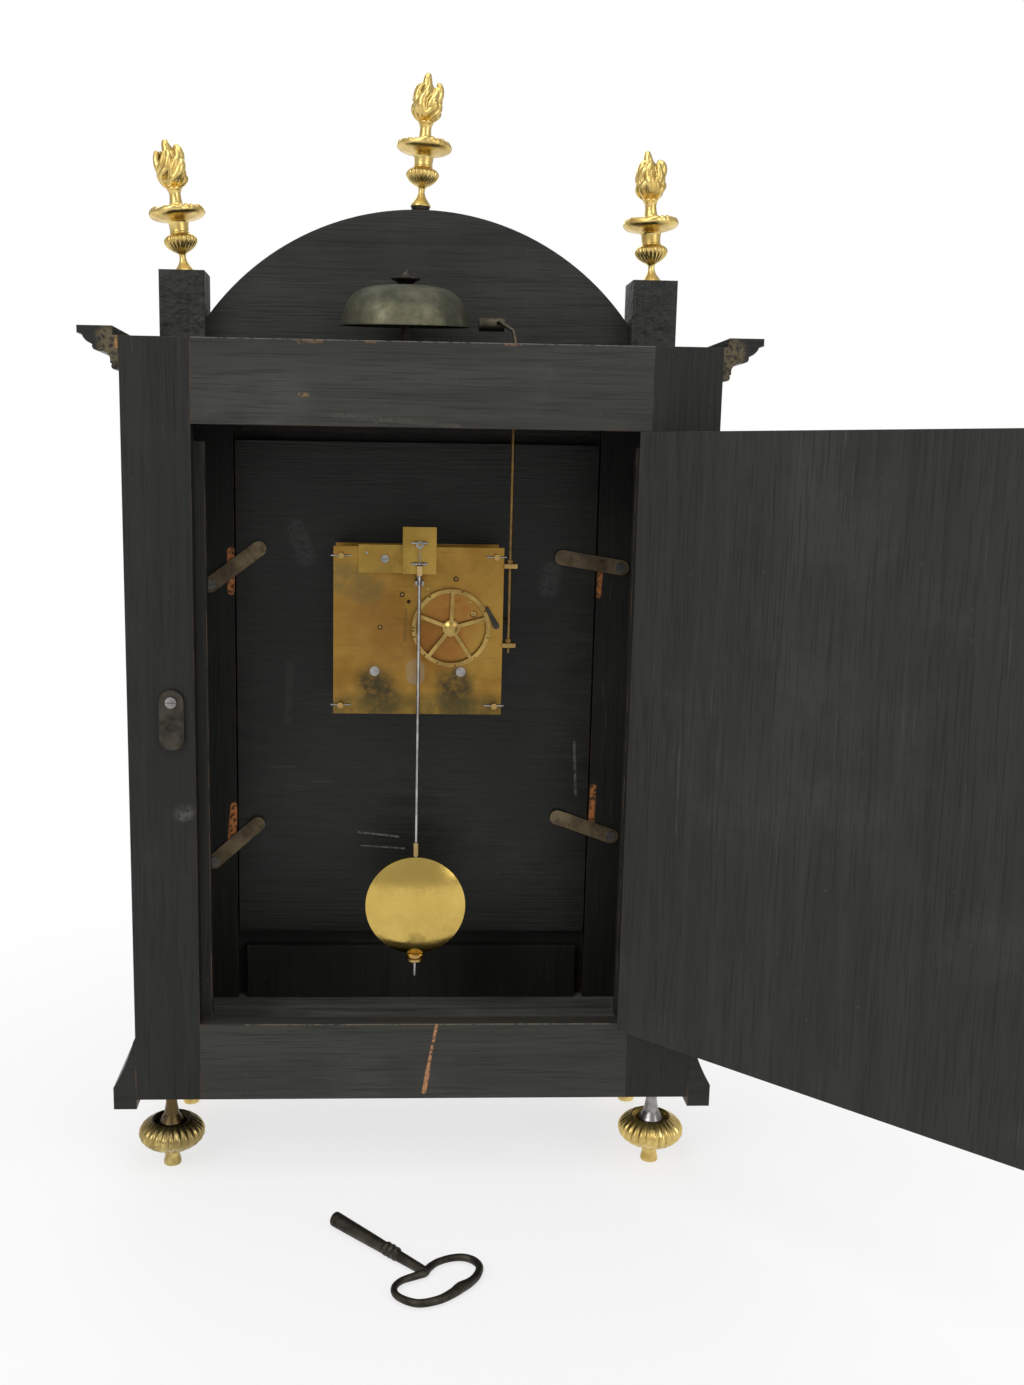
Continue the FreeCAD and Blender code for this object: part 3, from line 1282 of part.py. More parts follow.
arbor_piece("count_detent", "detent", [
    arbor(rear_radius=S["arbor_radius"], rear_end=COUNT_Y + THIN),
    disc_y(2.0, THIN, COUNT_Y),
    prism_y([(-1.8, 0.5), (1.6, -0.8), beside_count_wheel(0.8, 168), beside_count_wheel(GAP, 150),
             beside_count_wheel(2.2, 149), beside_count_wheel(2.8, 160)], THIN, COUNT_Y)])


# ---------------------------------------------------------------- motion work and hands

MINUTE_WHEEL_Y = FRONT_PLATE_FRONT - S["motion_wheel_gap"] - THIN
HOUR_WHEEL_Y = MINUTE_WHEEL_Y - S["motion_wheel_gap"] - THIN - 0.5
cannon_module, cannon_out, cannon_back = mesh("motion", "centre", int(S["minute_wheel_teeth"]),
                                              int(S["cannon_leaves"]))
hour_module, hour_out, hour_back = mesh("centre", "motion", int(S["hour_wheel_teeth"]),
                                        int(S["minute_pinion_leaves"]))


def hand_shape(length, width, tail, boss, bore, y, angle):
    """A hand that points up before it is turned clockwise as seen from the dial's side."""
    thick = S["hand_thickness"]
    blade = prism_y([(-0.6, -tail), (0.6, -tail), (0.9, 0), (width / 2, length * 0.62),
                     (0.4, length * 0.72), (0.25, length), (-0.25, length), (-0.4, length * 0.72),
                     (-width / 2, length * 0.62), (-0.9, 0)], thick, y)
    shape = blade.fuse(disc_y(boss, thick, y)).cut(disc_y(bore, thick, y)).removeSplitter()
    shape.rotate(Vector(), Vector(0, 1, 0), angle)
    return shape


cannon_bore = disc_y(S["arbor_radius"] + CLEAR, MINUTE_WHEEL_Y + THIN + OVER / 2 - MINUTE_HAND_Y, MINUTE_HAND_Y)
cannon = toothed(int(S["cannon_leaves"]), cannon_module, PINION_FORM, THIN + OVER, MINUTE_WHEEL_Y - OVER / 2,
                 cannon_back)
cannon = cannon.fuse(disc_y(S["cannon_pipe_radius"], MINUTE_WHEEL_Y - MINUTE_HAND_Y, MINUTE_HAND_Y))
cannon = cannon.cut(cannon_bore).removeSplitter()
minute_hand = hand_shape(S["minute_hand_length"], 4.5, 10, 3.6, S["cannon_pipe_radius"], MINUTE_HAND_Y, 0)
minute_parts = Part.Compound([minute_hand, cannon])
keep("minute_hand", feature("minute_hand_shape", minute_parts, 0, 0, S["centre_height"]))

hour_wheel = crossed_wheel(int(S["hour_wheel_teeth"]), hour_module, THIN, HOUR_WHEEL_Y, hour_out, hub=4.6)
hour_pipe_length = HOUR_WHEEL_Y + THIN - HOUR_HAND_Y
hour_pipe = disc_y(S["hour_pipe_radius"], hour_pipe_length, HOUR_HAND_Y)
hour_wheel = hour_wheel.fuse(hour_pipe)
hour_wheel = hour_wheel.cut(disc_y(S["cannon_pipe_radius"] + CLEAR, hour_pipe_length, HOUR_HAND_Y))
hour_hand = hand_shape(S["hour_hand_length"], 6.5, 9, 5.2, S["hour_pipe_radius"], HOUR_HAND_Y, 180)
keep("hour_hand", feature("hour_hand_shape", Part.Compound([hour_hand, hour_wheel.removeSplitter()]),
                          0, 0, S["centre_height"]))

minute_wheel = crossed_wheel(int(S["minute_wheel_teeth"]), cannon_module, THIN, MINUTE_WHEEL_Y, cannon_out,
                             hub=3.4)
minute_pinion = toothed(int(S["minute_pinion_leaves"]), hour_module, PINION_FORM,
                        MINUTE_WHEEL_Y - HOUR_WHEEL_Y + OVER / 2, HOUR_WHEEL_Y - OVER / 2, hour_back)
minute_bore = disc_y(S["arbor_radius"] + CLEAR, FRONT_PLATE_FRONT - HOUR_WHEEL_Y + OVER, HOUR_WHEEL_Y - OVER)
x, z = SPOTS["motion"]
keep("minute_wheel", feature("minute_wheel_shape",
                             minute_wheel.fuse(minute_pinion).cut(minute_bore).removeSplitter(), x, 0, z))


# ---------------------------------------------------------------- plates and pillars

plate_half = "plate_width / 2"
plate_low = "plate_centre_height - plate_height / 2"
plate_high = "plate_centre_height + plate_height / 2"
plate_outline = [(f"0 - ( {plate_half} )", plate_low), (plate_half, plate_low),
                 (plate_half, plate_high), (f"0 - ( {plate_half} )", plate_high)]
pivot_hole = "pivot_radius + running_clearance"
arbor_hole = "arbor_radius + running_clearance"
winding_bore = "winding_pivot_radius + running_clearance"
pillar_hole = "pillar_end_radius + running_clearance"
pillar_spots = [(f"{sx} * pillar_offset_x", f"plate_centre_height + {sz} * pillar_offset_z")
                for sx in (1, -1) for sz in (1, -1)]
shared_holes = [(px, pz, pillar_hole) for px, pz in pillar_spots]
shared_holes += [("barrel_offset_x", "barrel_height", winding_bore),
                 ("0 - barrel_offset_x", "barrel_height", winding_bore),
                 ("intermediate_x", "intermediate_height", pivot_hole),
                 ("third_x", "third_height", pivot_hole),
                 ("escape_x", "escape_height", pivot_hole),
                 ("pin_wheel_x", "pin_wheel_height", pivot_hole),
                 ("fly_x", "fly_height", pivot_hole)]
back_holes = [("0", "centre_height", pivot_hole),
              ("0", "pallet_height", arbor_hole),
              ("second_x", "second_height", arbor_hole),
              ("detent_x", "detent_height", arbor_hole),
              ("cock_screw_x", "cock_screw_height", "cock_screw_radius + running_clearance"),
              ("steady_pin_x", "steady_pin_height", "steady_pin_radius + running_clearance")]
front_holes = [("0", "centre_height", arbor_hole),
               ("0", "pallet_height", pivot_hole),
               ("second_x", "second_height", pivot_hole),
               ("detent_x", "detent_height", pivot_hole)]
keep("back_plate", plate_body("back_plate_body", plate_outline, "plate_thickness", plate_back,
                              shared_holes + back_holes))
front_plate_front = f"{plate_back} - 2 * plate_thickness - plate_spacing"
plain_front = plate_body("front_plate_body", plate_outline, "plate_thickness",
                         f"{plate_back} - plate_thickness - plate_spacing", shared_holes + front_holes)
stud_length = "2 * wheel_thickness + 2 * motion_wheel_gap + 2"
stud = rod("motion_stud", "y", "arbor_radius",
           ("0", f"{front_plate_front} - ( {stud_length} )", "centre_height - motion_centre_distance"),
           stud_length)
keep("front_plate", fuse("front_plate_with_stud", [plain_front, stud]))


def pillar_shape():
    """A pillar with a neck through the front plate, a foot on the dial board and a pinned rear end."""
    neck = S["pillar_end_radius"]
    rear = disc_y(neck, S["plate_thickness"] + S["pillar_end_length"], PLATE_INSIDE)
    middle = disc_y(S["pillar_radius"], S["plate_spacing"], FRONT_PLATE_INSIDE)
    front_neck = disc_y(neck, S["plate_thickness"], FRONT_PLATE_FRONT)
    foot = disc_y(S["pillar_radius"], FRONT_PLATE_FRONT - BOARD_BACK, BOARD_BACK)
    shape = middle.multiFuse([rear, front_neck, foot]).removeSplitter()
    bore = Part.makeCylinder(S["taper_pin_radius"] + CLEAR, 2 * neck + 1, Vector(-neck - 0.5, PIN_Y, 0),
                             Vector(1, 0, 0))
    return shape.cut(bore)


PIN_Y = PLATE_BACK + S["taper_pin_radius"] + 0.1
pillars, pins = [], []
for sx in (1, -1):
    for sz in (1, -1):
        spot = Vector(sx * S["pillar_offset_x"], 0, S["plate_centre_height"] + sz * S["pillar_offset_z"])
        pillar = pillar_shape()
        pillar.translate(spot)
        pillars.append(pillar)
        half_pin = S["taper_pin_length"] / 2
        pin = Part.makeCone(S["taper_pin_radius"] * 0.8, S["taper_pin_radius"], 2 * half_pin,
                            spot + Vector(-half_pin, PIN_Y, 0), Vector(1, 0, 0))
        pins.append(pin)
keep("pillars", feature("pillar_set", Part.Compound(pillars)))

cock_screw = disc_y(S["cock_screw_radius"], 2 * S["plate_thickness"], PLATE_INSIDE, S["cock_screw_x"],
                    S["cock_screw_height"])
cock_screw_head = disc_y(2 * S["cock_screw_radius"], 1.5, PLATE_BACK + S["plate_thickness"], S["cock_screw_x"],
                         S["cock_screw_height"])
screw_slot = Part.makeBox(4 * S["cock_screw_radius"], 0.8, 0.5, Vector(
    S["cock_screw_x"] - 2 * S["cock_screw_radius"], PLATE_BACK + S["plate_thickness"] + 0.8,
    S["cock_screw_height"] - 0.25))
steady_pin = disc_y(S["steady_pin_radius"], 2 * S["plate_thickness"] + 0.4, PLATE_INSIDE, S["steady_pin_x"],
                    S["steady_pin_height"])
keep("movement_pins_and_screws", feature("movement_pins", Part.Compound(
    pins + [cock_screw.fuse(cock_screw_head).cut(screw_slot), steady_pin])))


# ---------------------------------------------------------------- suspension, pendulum, crutch

PENDULUM_Y = BACK - S["pendulum_setback"]
SUSPENSION = S["suspension_height"]
cock_inside = "cock_width / 2"
cock_face = f"{plate_back} + cock_standoff"
cock_rear = f"{cock_face} + plate_thickness"
cock_top = "cock_bottom_height + cock_height"
spring_rear = "case_depth / 2 - pendulum_setback + spring_width / 2"
cock_solid = fuse("cock_solid", [
    board("cock_foot", (cock_inside, f"{cock_inside} + cock_foot_length"),
          (plate_back, f"{plate_back} + plate_thickness"),
          ("cock_bottom_height", "cock_bottom_height + cock_foot_height")),
    board("cock_web", (f"{cock_inside} - plate_thickness", cock_inside), (plate_back, cock_rear),
          ("cock_bottom_height", "cock_bottom_height + cock_foot_height")),
    board("cock_plate", (f"0 - ( {cock_inside} )", cock_inside), (cock_face, cock_rear),
          ("cock_bottom_height", cock_top)),
    rod("suspension_pin", "y", "arbor_radius", ("0", cock_rear, "suspension_height"),
        f"{spring_rear} + 0.8 - ( {cock_rear} )")])
keep("suspension_cock", cut("cock", cock_solid, [
    rod("pallet_pivot_hole", "y", pivot_hole, ("0", cock_face, "pallet_height"), "plate_thickness"),
    rod("cock_screw_hole", "y", "cock_screw_radius + running_clearance",
        ("cock_screw_x", plate_back, "cock_screw_height"), "plate_thickness"),
    rod("steady_pin_hole", "y", "steady_pin_radius + running_clearance",
        ("steady_pin_x", plate_back, "steady_pin_height"), "plate_thickness")]))

half_spring = S["spring_width"] / 2
spring_end = SUSPENSION - S["spring_length"]
hook = disc_y(2.2, S["spring_width"], -half_spring)
leaf = Part.makeBox(S["spring_thickness"], S["spring_width"], S["spring_length"],
                    Vector(-S["spring_thickness"] / 2, -half_spring, -S["spring_length"]))
spring = hook.fuse(leaf).cut(disc_y(S["arbor_radius"] + CLEAR, S["spring_width"], -half_spring))
keep("suspension_spring", feature("spring_shape", spring.removeSplitter(), 0, PENDULUM_Y, SUSPENSION))

ROD = S["rod_radius"]
CHOP = 4.0
BOB_BOTTOM = S["bob_height"] - S["bob_radius"]
chop = Part.makeBox(3.0, 5.0, CHOP + 1.5, Vector(-1.5, -2.5, -CHOP))
rod_low = S["rod_end_height"] - spring_end
rod_solid = Part.makeCylinder(ROD, -1 - rod_low, Vector(0, 0, rod_low))
ferrule = Part.makeCylinder(ROD + 1.3, 8, Vector(0, 0, S["ferrule_height"] - 4 - spring_end))
slit = Part.makeBox(S["spring_thickness"], 5.0, 1.5, Vector(-S["spring_thickness"] / 2, -2.5, 0))
pendulum_rod = rod_solid.multiFuse([chop, ferrule]).cut(slit).removeSplitter()
keep("pendulum_rod", feature("pendulum_rod_shape", pendulum_rod, 0, PENDULUM_Y, spring_end))

bob_half = S["bob_thickness"] / 2
bob_edge = 1.6
bob_flat = 3 * ROD
bob = turned([(0, -bob_half), (bob_flat, -bob_half), (S["bob_radius"] * 0.6, -bob_half * 0.74, 0),
              (S["bob_radius"], -bob_edge), (S["bob_radius"], bob_edge),
              (S["bob_radius"] * 0.6, bob_half * 0.74, 0), (bob_flat, bob_half), (0, bob_half)])
bob.rotate(Vector(), Vector(1, 0, 0), -90)
bob = bob.cut(Part.makeCylinder(ROD + CLEAR, 2 * S["bob_radius"] + 2, Vector(0, 0, -S["bob_radius"] - 1)))
keep("pendulum_bob", feature("bob_shape", bob, 0, PENDULUM_Y, S["bob_height"]))

nut_half = S["nut_thickness"] / 2
nut_edge = S["nut_radius"]
nut = turned([(0, 0), (nut_edge - 1, 0), (nut_edge, -0.6), (nut_edge, -1.8), (nut_edge - 1.2, -nut_half),
              (nut_edge, 1.8 - S["nut_thickness"]), (nut_edge, 0.6 - S["nut_thickness"]),
              (nut_edge - 1, -S["nut_thickness"]), (0, -S["nut_thickness"])])
nut = nut.cut(Part.makeCylinder(ROD + CLEAR, S["nut_thickness"] + 2, Vector(0, 0, -S["nut_thickness"] - 1)))
keep("rating_nut", feature("nut_shape", nut, 0, PENDULUM_Y, BOB_BOTTOM))

# pallets and crutch, fast on one arbor that passes through the rear plate into the cock
COCK_FACE = PLATE_BACK + S["cock_standoff"]
FORK_DROP = S["pallet_height"] - S["crutch_height"]
CRUTCH_RATIO = (SUSPENSION - S["crutch_height"]) / FORK_DROP
crutch_swing = math.radians(S["pendulum_swing"] * CRUTCH_RATIO)
line_x = (SPOTS["escape"][0] - SPOTS["pallets"][0]) / PALLET_DISTANCE
line_z = (SPOTS["escape"][1] - SPOTS["pallets"][1]) / PALLET_DISTANCE
nib_lift = S["pallet_gap"] + ESCAPE_RADIUS * math.sin(crutch_swing)


def pallet_arm(side):
    """One arm of the anchor: from the arbor out to a nib that points at the escape arbor."""
    share = PALLET_DISTANCE / 2
    nib_x = line_x * share - side * line_z * share
    nib_z = line_z * share + side * line_x * share
    along_x, along_z = nib_x / ESCAPE_RADIUS, nib_z / ESCAPE_RADIUS
    out_x = (nib_x - line_x * PALLET_DISTANCE) / ESCAPE_RADIUS
    out_z = (nib_z - line_z * PALLET_DISTANCE) / ESCAPE_RADIUS
    length = ESCAPE_RADIUS
    outline = ((0, -1.2), (length - 1.2, nib_lift + 1.5), (length - 0.5, nib_lift), (length + 0.5, nib_lift),
               (length + 1.2, nib_lift + 2), (length + 1.0, nib_lift + 4), (0, 1.2))
    points = [(a * along_x + o * out_x, a * along_z + o * out_z) for a, o in outline]
    return prism_y(points, ESCAPE + 0.8, ESCAPE_Y - 0.4)


fork_width = 2.6
fork_rear = PENDULUM_Y + ROD + 1.6
fork_low = -FORK_DROP - fork_width / 2
crutch_y = PLATE_BACK + 3.5
crutch_strip = 1.4
crutch_half = 1.2
prong = 1.1
slot_half = ROD + GAP
fork_half = slot_half + prong
crutch = [
    disc_y(3.0, crutch_strip, crutch_y),
    Part.makeBox(2 * crutch_half, crutch_strip, FORK_DROP, Vector(-crutch_half, crutch_y, -FORK_DROP)),
    Part.makeBox(2 * fork_half, crutch_strip, fork_width, Vector(-fork_half, crutch_y, fork_low)),
]
for left in (slot_half, -fork_half):
    crutch.append(Part.makeBox(prong, fork_rear - crutch_y, fork_width, Vector(left, crutch_y, fork_low)))
pallet_arbor = [
    disc_y(S["arbor_radius"], COCK_FACE - S["end_shake"] - FRONT_PLATE_INSIDE - S["end_shake"],
           FRONT_PLATE_INSIDE + S["end_shake"]),
    disc_y(S["pivot_radius"], S["plate_thickness"] + S["end_shake"], FRONT_PLATE_FRONT),
    disc_y(S["pivot_radius"], S["plate_thickness"] + S["end_shake"], COCK_FACE - S["end_shake"]),
    disc_y(3.0, ESCAPE + 0.8, ESCAPE_Y - 0.4),
]
arbor_piece("pallets_and_crutch", "pallets", pallet_arbor + [pallet_arm(1), pallet_arm(-1)] + crutch)


# ---------------------------------------------------------------- bell and hammer

BELL_Y = BACK - S["bell_setback"]
BELL_RIM = S["bell_rim_height"]
BELL_TOP = BELL_RIM + S["bell_depth"]
bell_radius = S["bell_radius"]
bell_wall = S["bell_wall"]


def bell_shape():
    """A shallow bell of even wall, open below, with a hole for its stud."""
    depth = S["bell_depth"]
    shoulder = 0.80

    def skin(radius, top):
        return [(radius, 0), (radius * 0.97, depth * 0.28), (radius * shoulder, top * 0.78),
                (radius * 0.44, top * 0.97), (radius * 0.2, top)]

    outer = skin(bell_radius, depth)
    inner = skin(bell_radius - bell_wall, depth - bell_wall)
    profile = outer + [(0, depth), (0, depth - bell_wall)] + inner[::-1]
    bored = turned(profile)
    return bored.cut(Part.makeCylinder(S["bell_stud_radius"] + CLEAR, depth + 2))


keep("bell", feature("bell_shape", bell_shape(), S["bell_x"], BELL_Y, BELL_RIM))

post = S["bell_post_width"]
seat = BELL_TOP - bell_wall - CASE_TOP
post_block = Part.makeBox(post, post, seat, Vector(-post / 2, -post / 2, 0))
post_flange = Part.makeCylinder(post, 2, Vector())
board_thickness = S["top_board_thickness"]
post_screw = Part.makeCylinder(post / 2 - 0.3, board_thickness, Vector(0, 0, -board_thickness))
post_stud = Part.makeCylinder(S["bell_stud_radius"], bell_wall + 8, Vector(0, 0, seat))
bell_post = post_block.multiFuse([post_flange, post_screw, post_stud]).removeSplitter()
keep("bell_stand", feature("bell_stand_shape", bell_post,
                           S["bell_x"], BELL_Y, CASE_TOP))
bell_nut = turned([(0, 0), (4.2, 0), (4.6, 0.6), (4.6, 3.2), (3.2, 4.2), (2.9, 6), (0, 6)])
bell_nut = bell_nut.cut(Part.makeCylinder(S["bell_stud_radius"] + CLEAR, 8, Vector(0, 0, -1)))
keep("bell_nut", feature("bell_nut_shape", bell_nut, S["bell_x"], BELL_Y, BELL_TOP))

HAMMER_X = S["hammer_x"]
HAMMER_Y = PLATE_BACK - S["plate_thickness"] / 2
cock_thick = S["hammer_cock_thickness"]
plate_edge = S["plate_width"] / 2
hammer_cocks = []
for level in (S["lower_cock_height"], S["upper_cock_height"]):
    depth = 7.5
    block = Part.makeBox(-plate_edge - HAMMER_X + 4, depth, cock_thick,
                         Vector(HAMMER_X - 4, HAMMER_Y - depth / 2, level))
    hammer_cocks.append(block.cut(Part.makeCylinder(S["hammer_rod_radius"] + CLEAR, cock_thick,
                                                    Vector(HAMMER_X, HAMMER_Y, level))))
keep("hammer_cocks", feature("hammer_cock_set", Part.Compound(hammer_cocks)))

# the hammer is made about its own upright arbor
ROD_H = S["hammer_rod_radius"]
head_x = S["bell_x"] - bell_radius - S["hammer_head_gap"] - S["hammer_head_length"] - HAMMER_X
head_y = BELL_Y - HAMMER_Y
head_z = S["hammer_head_height"]
elbow = CASE_TOP + 6
stem = wire_rod([(0, 0, S["hammer_bottom_height"]), (0, 0, elbow), (1.0, -2.5, elbow + 6),
                 (head_x + 3, head_y * 0.55, elbow + 11.5), (head_x + 5, head_y, head_z)], ROD_H)
head = Part.makeCylinder(S["hammer_head_radius"], S["hammer_head_length"], Vector(head_x, head_y, head_z),
                         Vector(1, 0, 0))
collars = [Part.makeCylinder(ROD_H + 1.2, 2.2, Vector(0, 0, level + cock_thick + 0.2))
           for level in (S["lower_cock_height"], S["upper_cock_height"])]
tail = wire_rod([(0, 0, S["hammer_tail_height"]), (S["hammer_tail_x"] - HAMMER_X, S["hammer_tail_y"] - HAMMER_Y,
                                                  S["hammer_tail_height"])], 0.8)
hammer = stem.multiFuse([head, tail] + collars)
keep("hammer", feature("hammer_shape", hammer, HAMMER_X, HAMMER_Y, 0))


# ---------------------------------------------------------------- winding key

def key_shape():
    """A round tube with a square socket, a collar and an oval wire bow, along +X."""
    tube = S["key_tube_radius"]
    length = S["key_tube_length"]
    wire = S["key_bow_wire"]
    socket = S["winding_square"] + S["key_socket_clearance"]
    bow_length, bow_width = S["key_bow_length"], S["key_bow_width"]
    shoulder = length + 9
    body = Part.makeCylinder(tube, length, Vector(), Vector(1, 0, 0))
    collar = Part.makeCylinder(tube * 0.8, shoulder - length, Vector(length, 0, 0), Vector(1, 0, 0))
    long_half, wide_half = bow_width / 2 - wire, bow_length / 2 - wire
    path = Part.Wire([Part.Ellipse(Vector(), long_half, wide_half).toShape()])
    circle = Part.Wire([Part.Circle(Vector(long_half, 0, 0), Vector(0, 1, 0), wire).toShape()])
    bow = path.makePipeShell([circle], True, False)
    bow.rotate(Vector(), Vector(0, 0, 1), 90)
    bow.translate(Vector(shoulder + wide_half, 0, 0))
    hole = Part.makeBox(S["key_socket_depth"], socket, socket, Vector(0, -socket / 2, -socket / 2))
    return body.multiFuse([collar, bow]).cut(hole)


# the key lies on its tube, with the bow's wire just above the table
keep("winding_key", feature("key_shape", key_shape(), S["key_x"], S["key_y"], S["key_tube_radius"],
                            Rotation(Vector(0, 0, 1), S["key_turn"])))


# ---------------------------------------------------------------- checks and files

doc.recompute()
doc.removeObject(probe.Name)
for obj in doc.Objects:
    if "Invalid" in obj.State or "Error" in obj.State:
        raise RuntimeError(f"{obj.Label} did not build")
for label, obj in pieces.items():
    if obj.Shape.isNull() or not obj.Shape.isValid() or not obj.Shape.Solids:
        raise RuntimeError(f"{label} has no valid solid")

os.makedirs("parts", exist_ok=True)
for label, obj in pieces.items():
    obj.Shape.exportStep(f"parts/{label}.step")
    print(label, len(obj.Shape.Solids), round(obj.Shape.Volume, 1))
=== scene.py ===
import math
import random

import bpy
import bmesh
from mathutils import Matrix, Vector


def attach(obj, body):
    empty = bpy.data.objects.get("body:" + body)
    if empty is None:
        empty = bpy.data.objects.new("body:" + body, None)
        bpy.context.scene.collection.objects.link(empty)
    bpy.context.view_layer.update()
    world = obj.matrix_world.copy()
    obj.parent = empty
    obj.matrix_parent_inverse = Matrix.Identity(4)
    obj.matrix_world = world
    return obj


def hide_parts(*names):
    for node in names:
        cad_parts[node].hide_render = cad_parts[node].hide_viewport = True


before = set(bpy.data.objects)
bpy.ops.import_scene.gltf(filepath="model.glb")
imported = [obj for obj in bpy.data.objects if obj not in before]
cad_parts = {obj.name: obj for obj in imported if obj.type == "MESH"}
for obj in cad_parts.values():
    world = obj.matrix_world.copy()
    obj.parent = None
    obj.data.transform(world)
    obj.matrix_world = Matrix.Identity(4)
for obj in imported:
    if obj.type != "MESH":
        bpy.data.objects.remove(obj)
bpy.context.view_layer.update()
random.seed(7)
MM = 0.001


# ---------------------------------------------------------------- shader helpers

class Surface:
    """A material on one Principled shader, with short calls for its texture nodes."""

    def __init__(self, name, roughness=0.5, metallic=0.0, specular=0.5):
        self.material = bpy.data.materials.new(name)
        self.material.use_nodes = True
        self.tree = self.material.node_tree
        self.shader = self.tree.nodes["Principled BSDF"]
        self.shader.inputs["Roughness"].default_value = roughness
        self.shader.inputs["Metallic"].default_value = metallic
        self.shader.inputs["Specular IOR Level"].default_value = specular
        self.place = self.node("ShaderNodeTexCoord").outputs["Object"]

    def node(self, kind, **settings):
        made = self.tree.nodes.new(kind)
        for key, value in settings.items():
            setattr(made, key, value)
        return made

    def put(self, socket, value):
        """Link an output, or set a number or colour."""
        if isinstance(value, bpy.types.NodeSocket):
            self.tree.links.new(value, socket)
        elif isinstance(value, tuple) and len(value) == 3 and socket.type == "RGBA":
            socket.default_value = (*value, 1)
        else:
            socket.default_value = value

    def stretched(self, scale, shift=(0, 0, 0)):
        mapping = self.node("ShaderNodeMapping")
        self.put(mapping.inputs["Vector"], self.place)
        mapping.inputs["Scale"].default_value = scale
        mapping.inputs["Location"].default_value = shift
        return mapping.outputs["Vector"]

    def noise(self, scale, detail=4.0, rough=0.55, vector=None, distortion=0.0):
        made = self.node("ShaderNodeTexNoise")
        self.put(made.inputs["Vector"], vector or self.place)
        made.inputs["Scale"].default_value = scale
        made.inputs["Detail"].default_value = detail
        made.inputs["Roughness"].default_value = rough
        made.inputs["Distortion"].default_value = distortion
        return made.outputs["Fac"]

    def math(self, operation, a, b=0.0, clamp=False):
        made = self.node("ShaderNodeMath", operation=operation, use_clamp=clamp)
        self.put(made.inputs[0], a)
        self.put(made.inputs[1], b)
        return made.outputs[0]

    def spread(self, value, low, high, to_low=0.0, to_high=1.0):
        """Smooth step of a value between two levels."""
        made = self.node("ShaderNodeMapRange", interpolation_type="SMOOTHSTEP")
        self.put(made.inputs["Value"], value)
        made.inputs["From Min"].default_value = low
        made.inputs["From Max"].default_value = high
        made.inputs["To Min"].default_value = to_low
        made.inputs["To Max"].default_value = to_high
        return made.outputs["Result"]

    def mix(self, factor, a, b):
        made = self.node("ShaderNodeMix", data_type="RGBA")
        self.put(made.inputs["Factor"], factor)
        self.put(made.inputs["A"], a)
        self.put(made.inputs["B"], b)
        return made.outputs["Result"]

    def axis(self, index):
        made = self.node("ShaderNodeSeparateXYZ")
        self.put(made.inputs[0], self.place)
        return made.outputs[index]

    def vector(self, operation, a, b=None, scale=None):
        made = self.node("ShaderNodeVectorMath", operation=operation)
        self.put(made.inputs[0], a)
        if b is not None:
            self.put(made.inputs[1], b)
        if scale is not None:
            self.put(made.inputs["Scale"], scale)
        return made.outputs["Value"] if operation in ("LENGTH", "DOT_PRODUCT") else made.outputs["Vector"]

    def near(self, start, end, width, soft):
        """1 near the straight line between two points given in mm, 0 away from it."""
        a, b = Vector(start) * MM, Vector(end) * MM
        run = b - a
        offset = self.vector("SUBTRACT", self.place, tuple(a))
        along = self.vector("DOT_PRODUCT", offset, tuple(run / max(run.length_squared, 1e-12)))
        share = self.math("MULTIPLY", along, 1.0, clamp=True)
        foot = self.vector("SCALE", tuple(run), scale=share)
        gap = self.vector("LENGTH", self.vector("SUBTRACT", offset, foot))
        return self.spread(gap, width * MM, (width + soft) * MM, 1.0, 0.0)

    def edges(self, radius, low=0.02, high=0.25):
        """1 along worn convex and concave edges."""
        bevel = self.node("ShaderNodeBevel", samples=6)
        bevel.inputs["Radius"].default_value = radius
        geometry = self.node("ShaderNodeNewGeometry")
        facing = self.vector("DOT_PRODUCT", bevel.outputs["Normal"], geometry.outputs["Normal"])
        return self.spread(facing, 1 - low, 1 - high, 0.0, 1.0)

    def bump(self, height, distance, strength=1.0, arris=None):
        made = self.node("ShaderNodeBump")
        if arris:
            soft = self.node("ShaderNodeBevel", samples=4)
            soft.inputs["Radius"].default_value = arris
            self.put(made.inputs["Normal"], soft.outputs["Normal"])
        made.inputs["Strength"].default_value = strength
        made.inputs["Distance"].default_value = distance
        self.put(made.inputs["Height"], height)
        self.put(self.shader.inputs["Normal"], made.outputs["Normal"])

    def colour(self, value):
        self.put(self.shader.inputs["Base Color"], value)

    def roughness(self, value):
        self.put(self.shader.inputs["Roughness"], value)


TINT = (1.0, 1.0, 0.87)


